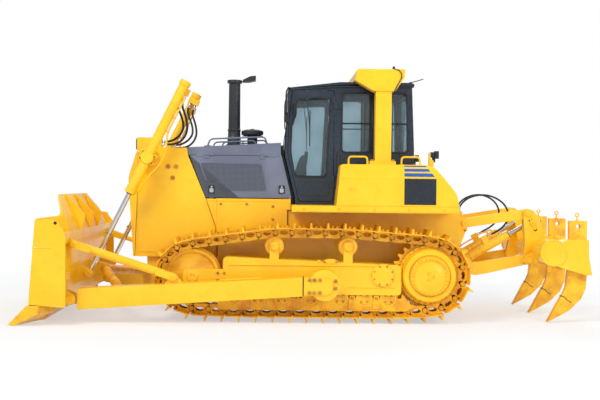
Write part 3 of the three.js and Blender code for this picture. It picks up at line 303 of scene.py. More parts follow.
def bent(points, radius, steps=5):
    """A path with its corners rounded to that radius."""
    points = [Vector(p) for p in points]
    path = [points[0]]
    for before, here, after in zip(points, points[1:], points[2:]):
        a, b = (before - here), (after - here)
        reach = min(radius, a.length * 0.49, b.length * 0.49)
        start, end = here + a.normalized() * reach, here + b.normalized() * reach
        for i in range(steps + 1):
            t = i / steps
            path.append(start * (1 - t) ** 2 + here * 2 * t * (1 - t) + end * t ** 2)
    return path + [points[-1]]


def rect(a0, b0, a1, b1):
    """A rectangle's outline between two opposite corners."""
    return [(a0, b0), (a0, b1), (a1, b1), (a1, b0)]


def oval(a, b, wide, high, corners=28):
    """An ellipse's outline about a middle."""
    return [(a + wide * math.cos(t), b + high * math.sin(t))
            for t in (2 * math.pi * i / corners for i in range(corners))]


def middle_of(loop):
    """The mean of an outline's corners."""
    return Vector((sum(a for a, _ in loop) / len(loop), sum(b for _, b in loop) / len(loop)))


def disc(radius, thick):
    """The profile of a plain disc or bar, to be turned."""
    return rect(0, 0, thick, radius)


def sleeve(inner, outer, long):
    """The profile of a plain tube, to be turned."""
    return rect(0, inner, long, outer)


def stud(radius, straight, thick, top):
    """The profile of a disc that is straight up to one place and then draws in to a smaller top."""
    return [(0, 0), (0, radius), (straight, radius), (thick, top), (thick, 0)]


def spoke(angle):
    """A level direction at an angle from straight ahead."""
    return Vector((math.cos(angle), math.sin(angle), 0))


def facing_ahead(a, b, c):
    """A place on a wall across the machine: a across, b its height, c forwards."""
    return (c, a, b)


class Form:
    """One piece's mesh, put together from closed shapes given on the left side; side -1 mirrors it."""

    def __init__(self, side=1):
        self.mesh = bmesh.new()
        self.side = side

    def _bridge(self, a, b):
        n = max(len(a), len(b))
        for i in range(n):
            corners = [a[i % len(a)], a[(i + 1) % len(a)], b[(i + 1) % len(b)], b[i % len(b)]]
            self.mesh.faces.new(list(dict.fromkeys(corners)))

    def turned(self, centre, profile, axis=LEFT, sides=40):
        """A turned shape: profile lists (place along the axis, radius), from the axis back to it."""
        u, v, w = basis(axis)
        rings = []
        for along, radius in profile:
            at = Vector(centre) + w * along
            angles = [2 * math.pi * i / sides for i in range(sides)] if radius else [0]
            rings.append([self.mesh.verts.new(at + (u * math.cos(t) + v * math.sin(t)) * radius)
                          for t in angles])
        closed = bool(profile[0][1]) and bool(profile[-1][1])
        for a, b in zip(rings, rings[1:] + (rings[:1] if closed else [])):
            self._bridge(a, b)
        return self

    def swept(self, path, radius, sides=10):
        """A round bar along a path; its ends are flat."""
        path = [Vector(p) for p in path]
        way = (path[1] - path[0]).normalized()
        u = basis(way)[0]
        rings = []
        for i, point in enumerate(path):
            ahead = (path[min(i + 1, len(path) - 1)] - path[max(i - 1, 0)]).normalized()
            u = (u - ahead * u.dot(ahead)).normalized()
            v = ahead.cross(u)
            rings.append([self.mesh.verts.new(point + (u * math.cos(t) + v * math.sin(t)) * radius)
                          for t in (2 * math.pi * k / sides for k in range(sides))])
        for a, b in zip(rings, rings[1:]):
            self._bridge(a, b)
        self.mesh.faces.new(rings[0])
        self.mesh.faces.new(rings[-1])
        return self

    def plate(self, outline, low, high, place=lambda a, b, c: (a, c, b), holes=()):
        """A flat plate: its outline and holes in two coordinates, from low to high along the third."""
        loops = [list(outline), *[list(h) for h in holes]]
        flat = [(a, b, 0) for loop in loops for a, b in loop]
        levels = [[self.mesh.verts.new(place(a, b, c)) for a, b, _ in flat] for c in (low, high)]
        start = 0
        for loop in loops:
            n = len(loop)
            for i in range(n):
                a, b = start + i, start + (i + 1) % n
                self.mesh.faces.new([levels[0][a], levels[0][b], levels[1][b], levels[1][a]])
            start += n
        for tri in tessellate_polygon([[Vector((a, b, 0)) for a, b in loop] for loop in loops]):
            for level in levels:
                self.mesh.faces.new([level[k] for k in tri])
        return self

    def block(self, low, high):
        """A block between two corners, to be finished by a bevel."""
        (x0, y0, z0), (x1, y1, z1) = low, high
        return self.plate([(x0, z0), (x1, z0), (x1, z1), (x0, z1)], y0, y1)

    def done(self, name, finish, body, bevel=0.0, replaces=(), angle=32, segments=2):
        """Makes the piece: mirrored if need be, facing out, with sharp edges kept and corners bevelled."""
        if self.side < 0:
            bmesh.ops.scale(self.mesh, vec=(1, -1, 1), verts=self.mesh.verts)
        bmesh.ops.remove_doubles(self.mesh, verts=self.mesh.verts, dist=1e-5)
        bmesh.ops.recalc_face_normals(self.mesh, faces=self.mesh.faces)
        data = bpy.data.meshes.new(name)
        self.mesh.to_mesh(data)
        self.mesh.free()
        return settle(name, data, finish, body, bevel, replaces, angle, segments)


def settle(name, data, finish, body, bevel=0.0, replaces=(), angle=32, segments=2):
    """A finished mesh becomes a piece that rides on its body and stands for the CAD nodes it replaces."""
    for face in data.polygons:
        face.use_smooth = True
    data.set_sharp_from_angle(angle=math.radians(angle))
    material, slot = FINISHES[finish]
    data.materials.clear()
    data.materials.append(material)
    piece = bpy.data.objects.new(name, data)
    bpy.context.scene.collection.objects.link(piece)
    if bevel:
        edge = piece.modifiers.new("rounded_edges", "BEVEL")
        edge.width = bevel
        edge.segments = segments
        edge.limit_method = "ANGLE"
        edge.angle_limit = math.radians(angle)
        edge.harden_normals = True
    if isinstance(body, tuple):
        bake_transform(piece)
    else:
        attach(piece, body)
    if replaces:
        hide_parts(*replaces)
    return piece


# ---------- hoses ----------

def smooth_route(points, step=0.02):
    """A centripetal Catmull-Rom curve through the points, as points about a step apart."""
    points = [Vector(p) for p in points]
    points = [points[0] * 2 - points[1], *points, points[-1] * 2 - points[-2]]
    route = []
    for p0, p1, p2, p3 in zip(points, points[1:], points[2:], points[3:]):
        t1 = (p1 - p0).length ** 0.5
        t2 = t1 + (p2 - p1).length ** 0.5
        t3 = t2 + (p3 - p2).length ** 0.5
        steps = max(2, round((p2 - p1).length / step))
        for i in range(steps):
            t = t1 + (t2 - t1) * i / steps
            a1 = p0.lerp(p1, t / t1)
            a2 = p1.lerp(p2, (t - t1) / (t2 - t1))
            a3 = p2.lerp(p3, (t - t2) / (t3 - t2))
            b1, b2 = a1.lerp(a2, t / t2), a2.lerp(a3, (t - t1) / (t3 - t1))
            route.append(b1.lerp(b2, (t - t1) / (t2 - t1)))
    return route + [points[-2]]


# Routes on the left side, in metres: from the block on the tractor to the block on the cylinder.
LIFT_HOSES = {
    "lift_hose_upper": [
        (2.0005, 0.6, 2.325), (1.94, 0.6, 2.325), (1.87, 0.622, 2.335), (1.775, 0.67, 2.39),
        (1.712, 0.72, 2.475), (1.705, 0.765, 2.57), (1.735, 0.8, 2.68), (1.768, 0.819, 2.762),
        (1.785, 0.827, 2.838), (1.774, 0.828, 2.898), (1.745, 0.828, 2.958)],
    "lift_hose_lower": [
        (2.0005, 0.645, 2.285), (1.94, 0.645, 2.285), (1.85, 0.658, 2.287), (1.76, 0.69, 2.315),
        (1.69, 0.725, 2.38), (1.65, 0.76, 2.48), (1.655, 0.785, 2.59), (1.685, 0.798, 2.70),
        (1.712, 0.804, 2.79), (1.697, 0.805, 2.87), (1.671, 0.805, 2.924)],
}
RIPPER_HOSE = [
    (-2.1, 0.09, 1.4205), (-2.1, 0.09, 1.47), (-2.135, 0.094, 1.53), (-2.2, 0.104, 1.59),
    (-2.306, 0.128, 1.636), (-2.437, 0.165, 1.65), (-2.56, 0.205, 1.618), (-2.66, 0.24, 1.552),
    (-2.722, 0.268, 1.46), (-2.735, 0.288, 1.37), (-2.706, 0.303, 1.282), (-2.66, 0.313, 1.222),
    (-2.6, 0.321, 1.175), (-2.537, 0.326, 1.139), (-2.485, 0.328, 1.109), (-2.433, 0.328, 1.079)]


def ferrule(name, end, inward, radius, side, body):
    """A crimped steel hose end with its hexagon, from the block outwards along the hose."""
    hexagon = [(0.0, 0), (0.0, radius * 1.45), (0.016, radius * 1.45), (0.018, radius * 1.2), (0.018, 0)]
    crimp = [(0.016, 0), (0.016, radius * 1.18)]
    for groove in range(4):
        start = 0.026 + 0.011 * groove
        crimp += [(start, radius * 1.28), (start + 0.007, radius * 1.28), (start + 0.009, radius * 1.16)]
    crimp += [(0.074, radius * 1.16), (0.074, 0)]
    return (Form(side).turned(end, hexagon, inward, 6).turned(end, crimp, inward, 20)
            .done(name, "chrome", body))


STEADY_PART = 5  # one part in so many of a hose's route, counted from each end; the points there are given with the hose's body


def make_hose(name, points, radius, side_name, moving, node=None):
    """A hydraulic hose between the tractor and a cylinder."""
    side = SIDES[side_name]
    route = smooth_route(points)
    sided = [Vector((p.x, p.y * side, p.z)) for p in route]
    near = len(sided) // STEADY_PART
    full = f"{name}_{side_name}"
    hose = Form(side).swept(route, radius, 14).done(
        full, "hose", ("tractor", moving, sided[near], sided[-near]), replaces=[node] if node else (),
        angle=60)
    ends = [ferrule(f"{full}_fitting_fixed", route[0], route[1] - route[0], radius, side, "tractor"),
            ferrule(f"{full}_fitting_moving", route[-1], route[-2] - route[-1], radius, side, moving)]


for side_name in SIDES:
    for name, points in LIFT_HOSES.items():
        node = f"lift_hose_{side_name}" if name == "lift_hose_upper" else None
        make_hose(name, points, 0.015, side_name, "lift_barrels", node)
    make_hose("ripper_hose_run", RIPPER_HOSE, 0.0125, side_name, "ripper_barrels",
              f"ripper_hose_{side_name}")


# ---------- what repeats, set out by Geometry Nodes ----------

def plain_object(name, form):
    """A unit that a tree repeats; it is removed once its copies are made."""
    data = bpy.data.meshes.new(name)
    bmesh.ops.remove_doubles(form.mesh, verts=form.mesh.verts, dist=1e-5)
    bmesh.ops.recalc_face_normals(form.mesh, faces=form.mesh.faces)
    form.mesh.to_mesh(data)
    form.mesh.free()
    unit = bpy.data.objects.new(name, data)
    bpy.context.scene.collection.objects.link(unit)
    return unit


def new_tree(name, **inputs):
    """A geometry tree with its named inputs; gives the tree, its input and output nodes and identifiers."""
    tree = bpy.data.node_groups.new(name, "GeometryNodeTree")
    face = tree.interface
    face.new_socket("Geometry", in_out="INPUT", socket_type="NodeSocketGeometry")
    face.new_socket("Geometry", in_out="OUTPUT", socket_type="NodeSocketGeometry")
    kinds = {float: "NodeSocketFloat", int: "NodeSocketInt"}
    ids = {}
    for label, value in inputs.items():
        kind = kinds.get(type(value), "NodeSocketObject")
        ids[label] = face.new_socket(label, in_out="INPUT", socket_type=kind).identifier
    return tree, add(tree, "NodeGroupInput"), add(tree, "NodeGroupOutput"), ids


def set_out(tree, given, output, unit, finish):
    """The tree's common end: a unit at each place, turned to its facing and along directions."""
    named = lambda label: add(tree, "GeometryNodeInputNamedAttribute", {"Name": label},
                              data_type="FLOAT_VECTOR").outputs[0]
    turn = add(tree, "FunctionNodeAxesToRotation", {0: named("facing"), 1: named("along")},
               primary_axis="Z", secondary_axis="X").outputs[0]
    placed = add(tree, "GeometryNodeInstanceOnPoints",
                 {"Points": given.outputs["Geometry"], "Instance": unit, "Rotation": turn})
    real = add(tree, "GeometryNodeRealizeInstances", {0: placed.outputs[0]})
    painted = add(tree, "GeometryNodeSetMaterial", {"Geometry": real.outputs[0]})
    painted.inputs["Material"].default_value = FINISHES[finish][0]
    tree.links.new(painted.outputs[0], output.inputs[0])


def grow_pieces(name, places, tree, values, finish, body, replaces=()):
    """Runs a tree on the places and keeps the plain mesh; a place is (point, facing, along)."""
    data = bpy.data.meshes.new(name + "_places")
    data.from_pydata([tuple(p) for p, _, _ in places], [], [])
    for column, label in ((1, "facing"), (2, "along")):
        store = data.attributes.new(label, "FLOAT_VECTOR", "POINT")
        store.data.foreach_set("vector", [c for place in places for c in place[column]])
    seeds = bpy.data.objects.new(name + "_places", data)
    bpy.context.scene.collection.objects.link(seeds)
    modifier = seeds.modifiers.new("set_out", "NODES")
    modifier.node_group = tree
    for identifier, value in values.items():
        modifier[identifier] = value
    bpy.context.view_layer.update()
    graph = bpy.context.evaluated_depsgraph_get()
    made = bpy.data.meshes.new_from_object(seeds.evaluated_get(graph), depsgraph=graph)
    made.name = name
    for attribute in ("facing", "along"):
        if attribute in made.attributes:
            made.attributes.remove(made.attributes[attribute])
    bpy.data.objects.remove(seeds)
    return settle(name, made, finish, body, replaces=replaces)


# A bolt head's parts, as shares of its size across flats, and of its height.
HEAD_HEIGHT, WASHER_RADIUS, CORNER_RADIUS, CROWN_RADIUS = 0.65, 0.72, 0.577, 0.44
WASHER_THICK, CROWN_THICK = 0.3, 0.16


def bolts(name, places, across, finish, body):
    """Hexagon bolt heads on washers; a place is (point on the surface, facing) or has a third direction."""
    tree, given, output, ids = new_tree("bolt_heads", across=across, height=HEAD_HEIGHT * across)
    size, height = given.outputs["across"], given.outputs["height"]
    washer = add(tree, "GeometryNodeMeshCylinder", {"Vertices": 16,
                                                    "Radius": product(tree, size, WASHER_RADIUS),
                                                    "Depth": product(tree, height, WASHER_THICK)})
    head = add(tree, "GeometryNodeMeshCylinder", {"Vertices": 6,
                                                  "Radius": product(tree, size, CORNER_RADIUS),
                                                  "Depth": height})
    crown = add(tree, "GeometryNodeMeshCone", {
        "Vertices": 6, "Radius Bottom": product(tree, size, CORNER_RADIUS),
        "Radius Top": product(tree, size, CROWN_RADIUS), "Depth": product(tree, height, CROWN_THICK)})
    shift = lambda z: add(tree, "ShaderNodeCombineXYZ", {"Z": z}).outputs[0]
    raised = add(tree, "GeometryNodeTransform", {0: head.outputs[0], "Translation": shift(
        product(tree, height, 0.5))})
    capped = add(tree, "GeometryNodeTransform", {0: crown.outputs[0], "Translation": shift(height)})
    joined = add(tree, "GeometryNodeJoinGeometry")
    for part in (washer, raised, capped):
        tree.links.new(part.outputs[0], joined.inputs[0])
    set_out(tree, given, output, joined.outputs[0], finish)
    full = []
    for place in places:
        point, facing = Vector(place[0]), Vector(place[1])
        full.append((point, facing, Vector(place[2]) if len(place) > 2 else basis(facing)[0]))
    values = {ids["across"]: across, ids["height"]: HEAD_HEIGHT * across}
    return grow_pieces(name, full, tree, values, finish, body)


def copies(name, unit, places, finish, body, replaces=()):
    """Copies of one unit object at the places."""
    tree, given, output, ids = new_tree("copies", unit=unit)
    source = add(tree, "GeometryNodeObjectInfo", {"Object": given.outputs["unit"]})
    set_out(tree, given, output, source.outputs["Geometry"], finish)
    return grow_pieces(name, places, tree, {ids["unit"]: unit}, finish, body, replaces)


def circle(centre, radius, count, facing=LEFT, start=0.0):
    """Places round a circle that faces a given way."""
    u, v, w = basis(facing)
    turns = [start + 2 * math.pi * i / count for i in range(count)]
    return [(Vector(centre) + (u * math.cos(t) + v * math.sin(t)) * radius, w,
             u * math.cos(t) + v * math.sin(t)) for t in turns]


def mirrored(places, side):
    """Places given for the left side, moved to the other one."""
    flip = lambda v: Vector((v[0], v[1] * side, v[2]))
    return [tuple(flip(v) for v in place) for place in places]


# ---------- tracks ----------

GAUGE = 1.0  # of each track's centre plane from the machine's
SHOES = 41
SHOE_WIDTH = 0.56
PLATE_OUT, PLATE_THICK, GROUSER = 0.069, 0.012, 0.065  # from the line of pins out to a shoe's face
RAIL_IN, RAIL_PLACE, RAIL_WIDTH = 0.065, 0.076, 0.042
IDLER = {"x": 1.525, "z": 0.57, "r": 0.35}
SPROCKET = {"x": -1.525, "z": 0.61, "r": 0.451}
ROLLER_XS = (0.98, 0.68, 0.37, 0.0, -0.38, -0.69, -1.0)
ROLLER_R, CARRIER_R, CARRIER_Z, CARRIER_XS = 0.11, 0.105, 0.97, (0.475, -0.475)
ROLLER_Z = PLATE_OUT + GROUSER + RAIL_IN + ROLLER_R + 0.0003


def pin_line():
    """The pins of the tight belt: equal steps along tangents and arcs round its wheels, in X and Z."""
    run = RAIL_IN + 0.0003
    wheels = [(IDLER["x"], IDLER["z"], IDLER["r"] + run + 0.003)]
    wheels += [(x, CARRIER_Z, CARRIER_R + run) for x in CARRIER_XS]
    wheels += [(SPROCKET["x"], SPROCKET["z"], SPROCKET["r"])]
    wheels += [(x, ROLLER_Z, ROLLER_R + run) for x in (ROLLER_XS[-1], ROLLER_XS[0])]

    def leaving(a, b):
        apart = math.hypot(b[0] - a[0], b[1] - a[1])
        return math.atan2(b[1] - a[1], b[0] - a[0]) - math.acos((a[2] - b[2]) / apart)

    line, count = [], len(wheels)
    for i, wheel in enumerate(wheels):
        start, end = leaving(wheels[i - 1], wheel), leaving(wheel, wheels[(i + 1) % count])
        while end < start - 1e-9:
            end += 2 * math.pi
        steps = max(1, math.ceil((end - start) / math.radians(1)))
        line += [Vector((wheel[0] + wheel[2] * math.cos(t), wheel[1] + wheel[2] * math.sin(t)))
                 for t in (start + (end - start) * k / steps for k in range(steps + 1))]
    line.append(line[0])
    lengths = [(b - a).length for a, b in zip(line, line[1:])]
    step, pins, gone, k = sum(lengths) / SHOES, [], 0.0, 0
    for i in range(SHOES):
        while gone + lengths[k] < i * step - 1e-9:
            gone += lengths[k]
            k += 1
        share = (i * step - gone) / lengths[k] if lengths[k] else 0
        pins.append(line[k].lerp(line[k + 1], share))
    return pins


def track_units(half):
    """A shoe, a link and a pin's end, each lying along +X with the ground side up."""
    root, tip, seam = 0.017, 0.007, 0.003
    end = half - seam
    bar = root + 0.008 - end
    under = PLATE_OUT - PLATE_THICK
    # The shoe's front lip dips under the shoe ahead, and its rear edge turns up over the one behind.
    profile = [(-end, under), (-end, PLATE_OUT), (bar - root, PLATE_OUT), (bar - tip, PLATE_OUT + GROUSER),
               (bar + tip, PLATE_OUT + GROUSER), (bar + root, PLATE_OUT + 0.002),
               (end - 0.03, PLATE_OUT), (end - 0.012, PLATE_OUT - 0.004), (end + 0.008, under - 0.004),
               (end + 0.002, under - 0.016), (end - 0.02, under - 0.002)]
    across = lambda a, b, c: (a, c, b)
    shoe = Form().plate(profile, -SHOE_WIDTH / 2, SHOE_WIDTH / 2, across)
    top, inner = under, -RAIL_IN
    window = [(0.055 * math.cos(t), 0.012 + (0.034 if math.sin(t) < 0 else 0.02) * math.sin(t))
              for t in (2 * math.pi * i / 14 for i in range(14))]
    outline = [(-half - 0.034, -0.018), (-half - 0.03, 0.03), (-half + 0.01, top), (half - 0.045, top),
               (half - 0.03, 0.03), (half + 0.012, 0.036), (half + 0.036, 0.012), (half + 0.034, -0.026),
               (half - 0.02, inner + 0.012), (half - 0.045, inner), (-half + 0.02, inner),
               (-half - 0.014, inner + 0.014)]
    link = Form().plate(outline, -RAIL_WIDTH / 2, RAIL_WIDTH / 2, across, holes=[window])
    boss = [(0.0, 0.0), (0.0, 0.031), (0.006, 0.031), (0.008, 0.028), (0.008, 0.02), (0.004, 0.018),
            (0.004, 0.0)]
    pin = Form().turned((0, 0, 0), boss, UP, 16)
    return (plain_object("shoe_unit", shoe), plain_object("link_unit", link), plain_object("pin_unit", pin))


def make_tracks():
    """Each belt: shoes, two rows of offset links, pin ends and the bolts that hold the shoes."""
    pins = pin_line()
    joints = [(a, b) for a, b in zip(pins, pins[1:] + pins[:1])]
    half = sum((b - a).length for a, b in joints) / SHOES / 2
    shoe, link, pin = track_units(half)
    for side_name, side in SIDES.items():
        flat = lambda p, y: Vector((p[0], side * GAUGE + y, p[1]))
        shoes, links, ends, heads = [], [], [], []
        for a, b in joints:
            along = Vector((b[0] - a[0], 0, b[1] - a[1])).normalized()
            out = Vector((along.z, 0, -along.x))
            middle = a.lerp(b, 0.5)
            shoes.append((flat(middle, 0), out, along))
            for face in (1, -1):
                links.append((flat(middle, face * RAIL_PLACE), out, along))
                rim = face * (RAIL_PLACE + RAIL_WIDTH / 2)
                ends.append((flat(a, rim), Vector((0, face, 0)), along))
                for x in (-0.012, 0.05):
                    at = flat(middle, face * RAIL_PLACE) + along * x + out * PLATE_OUT
                    heads.append((at, out, along))
        copies(f"track_shoes_{side_name}", shoe, shoes, "cast", "tractor", [f"track_{side_name}"])
        copies(f"track_links_{side_name}", link, links, "cast", "tractor")
        copies(f"track_pin_ends_{side_name}", pin, ends, "cast", "tractor")
        bolts(f"track_shoe_bolts_{side_name}", heads, 0.03, "cast", "tractor")
    for unit in (shoe, link, pin):
        bpy.data.objects.remove(unit)


make_tracks()


# ---------- wheels ----------

def make_idler(side_name, side):
    """A cast idler: a dished disc inside a running rim with a centre flange, and a bolted hub cap."""
    centre = (IDLER["x"], GAUGE, IDLER["z"])
    rim, flange, half, inner = IDLER["r"], IDLER["r"] + 0.022, 0.106, 0.048
    profile = [(-half, 0), (-half, 0.1), (-half + 0.012, 0.115), (-half + 0.03, 0.29), (-half, 0.31),
               (-half, rim - 0.006), (-half + 0.006, rim), (-inner, rim), (-inner + 0.006, flange),
               (inner - 0.006, flange), (inner, rim), (half - 0.006, rim), (half, rim - 0.006),
               (half, 0.31), (half - 0.03, 0.29), (half - 0.012, 0.115), (half, 0.1), (half, 0)]
    Form(side).turned(centre, profile, sides=72).done(
        f"idler_wheel_{side_name}", "cast", "tractor", replaces=[f"idler_{side_name}"], angle=40)
    axle = [(0.09, 0), (0.09, 0.07), (0.172, 0.07), (0.176, 0.064), (0.176, 0.03), (0.168, 0.027),
            (0.168, 0)]
    Form(side).turned(centre, axle, sides=32).done(f"idler_axle_{side_name}", "yellow", "tractor")


def make_sprocket(side_name, side):
    """The toothed rim, the final drive's drum and its domed cover, with rings of bolts."""
    x, y, z = SPROCKET["x"], GAUGE, SPROCKET["z"]
    teeth, pin_r = 26, SPROCKET["r"]
    rearmost = min(pin_line(), key=lambda p: p[0])
    phase = math.atan2(rearmost[1] - z, rearmost[0] - x)
    outline = []
    for i in range(teeth):
        for share, r in ((-0.5, -0.038), (-0.36, -0.034), (-0.24, -0.016), (-0.13, 0.014), (-0.06, 0.022),
                         (0.06, 0.022), (0.13, 0.014), (0.24, -0.016), (0.36, -0.034)):
            t = phase + (i + 0.5 + share) * 2 * math.pi / teeth
            outline.append((x + (pin_r + r) * math.cos(t), z + (pin_r + r) * math.sin(t)))
    Form(side).plate(outline, y - 0.036, y + 0.036).done(
        f"sprocket_rim_{side_name}", "cast", "tractor", bevel=0.004, replaces=[f"sprocket_{side_name}"])
    drum = [(-0.145, 0), (-0.145, 0.3), (0.036, 0.352), (0.05, 0.385), (0.078, 0.385), (0.084, 0.378),
            (0.084, 0.36), (0.12, 0.352), (0.196, 0.34), (0.212, 0.328), (0.215, 0.27), (0.2, 0.262),
            (0.2, 0)]
    hub = rect(-0.3995, 0, -0.14, 0.25)
    cover = [(0.19, 0), (0.19, 0.252), (0.238, 0.252), (0.245, 0.245), (0.246, 0.205), (0.236, 0.2),
             (0.236, 0.165), (0.25, 0.14), (0.2535, 0.06), (0.2535, 0.034), (0.259, 0.03), (0.259, 0)]
    centre = (x, y, z)
    Form(side).turned(centre, drum, sides=72).turned(centre, hub, sides=48).done(
        f"final_drive_drum_{side_name}", "yellow", "tractor", angle=40)
    Form(side).turned(centre, cover, sides=72).done(f"final_drive_cover_{side_name}", "yellow", "tractor")
    ring = circle((x, y + 0.2455, z), 0.226, 28) + circle((x, y + 0.2535, z), 0.045, 3)
    bolts(f"final_drive_bolts_{side_name}", mirrored(ring, side), 0.024, "yellow", "tractor")
    rim = circle((x, y + 0.084, z), 0.369, 30) + circle((x, y + 0.036, z), 0.405, 52)
    bolts(f"sprocket_bolts_{side_name}", mirrored(rim, side), 0.022, "cast", "tractor")


def make_rollers(side_name, side):
    """Roller rims with their flanges, end collars with bolts, and the carriers' rims and brackets."""
    form, heads = Form(side), []
    for x in ROLLER_XS:
        centre, end = (x, GAUGE, ROLLER_Z), 0.149
        for face in (1, -1):
            rim = [(0.05, 0), (0.05, 0.111), (0.098, 0.111), (0.1, 0.13), (0.113, 0.13), (0.12, 0.105),
                   (0.125, 0.09), (end, 0.085), (end + 0.006, 0.078), (end + 0.006, 0.03),
                   (end, 0.026), (end, 0)]
            form.turned(centre, rim, LEFT * face, 32)
        heads += circle((x, GAUGE + end + 0.006, ROLLER_Z), 0.056, 4, start=0.8)
    for x in CARRIER_XS:
        centre = (x, GAUGE, CARRIER_Z)
        rim = [(0.04, 0), (0.04, 0.106), (0.1, 0.106), (0.106, 0.122), (0.118, 0.122), (0.124, 0.1),
               (0.132, 0.088), (0.135, 0)]
        form.turned(centre, rim, sides=32)
        form.turned(centre, [(0.12, 0), (0.12, 0.056), (0.2, 0.056), (0.208, 0.048), (0.208, 0)], sides=24)
    form.done(f"roller_rims_{side_name}", "cast", "tractor", angle=40)
    bolts(f"roller_bolts_{side_name}", mirrored(heads, side), 0.02, "bolt", "tractor")


for side_name, side in SIDES.items():
    make_idler(side_name, side)
    make_sprocket(side_name, side)
    make_rollers(side_name, side)


# ---------- cab ----------

def rounded_loop(points, radius):
    """A closed outline with every corner rounded, as a list of pairs."""
    points = [Vector((a, 0, b)) for a, b in points]
    middle = (points[0] + points[-1]) / 2
    return [(p.x, p.z) for p in bent([middle, *points, middle], radius, 4)[:-1]]


DOOR_GLASS = [(0.2, 2.905), (-0.255, 2.925), (-0.205, 1.875), (0.208, 1.875), (0.27, 2.2), (0.262, 2.6),
              (0.2, 2.69)]
SIDE_GLASS = [(-0.408, 2.205), (-0.408, 3.0), (-1.27, 3.0), (-1.29, 2.205)]
CAB_HALF = 0.684


def cab_front(a, b, c):
    """A place on the windscreen's wall: a across, b up the slant, c outwards."""
    foot, head = Vector((0.35, 0, 2.164)), Vector((0.289, 0, 3.09))
    rise = (head - foot).normalized()
    return foot + rise * b + LEFT.cross(rise) * c + LEFT * a


def cab_rear(a, b, c):
    """A place on the rear wall: a across, b its height, c outwards."""
    return (-1.376 + 0.042 * max(0.0, b - 2.255) - c, a, b)


def make_cab_shell():
    """The cab's pressed walls with rounded openings, its sloping visor roof, floor and hinge knuckles."""
    wall, half = 0.046, CAB_HALF
    outline = [(0.207, 1.50), (0.207, 1.593), (0.35, 2.164), (0.2935, 3.036), (-0.40, 3.09), (-1.341, 3.09),
               (-1.376, 2.255), (-1.376, 1.50)]
    door = [(0.156, 1.539), (0.178, 1.618), (0.3155, 2.178), (0.298, 2.642), (0.261, 3.028),
            (-0.306, 3.028), (-0.306, 1.539)]
    form = Form()
    for side in (1, -1):
        low, high = sorted((side * (half - wall), side * half))
        form.plate(outline, low, high, holes=[rounded_loop(door, 0.03), rounded_loop(SIDE_GLASS, 0.06)])
        for z in (1.72, 2.78):
            form.turned((-0.306, side * 0.696, z), disc(0.0115, 0.09), UP, 16)
            form.plate(rect(-0.34, z, -0.306, z + 0.09),
                       *sorted((side * (half - 0.002), side * 0.70)))
    inside = half - wall + 0.001
    glass = rounded_loop(rect(-0.585, 0.028, 0.585, 0.868), 0.05)
    form.plate(rect(-inside, -0.01, inside, 0.873), -wall, -0.0005, cab_front, holes=[glass])
    form.plate([(0.2065, 1.51), (0.2065, 1.593), (0.3495, 2.164), (0.303, 2.168), (0.161, 1.60),
                (0.161, 1.51)],
               -inside, inside)
    glass = rounded_loop(rect(-0.52, 2.25, 0.52, 2.985), 0.05)
    form.plate(rect(-inside, 2.20, inside, 3.085), -wall, -0.0005, cab_rear, holes=[glass])
    form.plate(rect(-1.3755, 1.51, -1.33, 2.21), -inside, inside)
    form.block((-1.34, -inside, 1.501), (0.18, inside, 1.546))
    form.done("cab_shell", "cab", "tractor", bevel=0.005, replaces=["cab_frame"])
    roof = [(0.322, 3.028), (0.318, 3.05), (0.295, 3.062), (-0.39, 3.142), (-1.30, 3.142), (-1.372, 3.125),
            (-1.372, 3.091), (-0.40, 3.091), (0.2935, 3.037)]
    Form().plate(roof, -0.698, 0.698).done("cab_roof_panel", "cab", "tractor", bevel=0.012, segments=3,
                                           replaces=["cab_roof"])


def gasket(form, outline, y, place=lambda a, b, c: (a, c, b)):
    """A flat rubber seal round a pane's outline, lapping the wall and the glass."""
    over_wall, over_glass, sunk, proud = 0.016, 0.014, 0.012, 0.008
    loop = rounded_loop(outline, 0.05)
    centre = middle_of(loop)
    outer, inner = [[tuple(Vector(p) + (Vector(p) - centre).normalized() * off) for p in loop]
                    for off in (over_wall, -over_glass)]
    form.plate(outer, y - sunk, y + proud, place, holes=[inner])


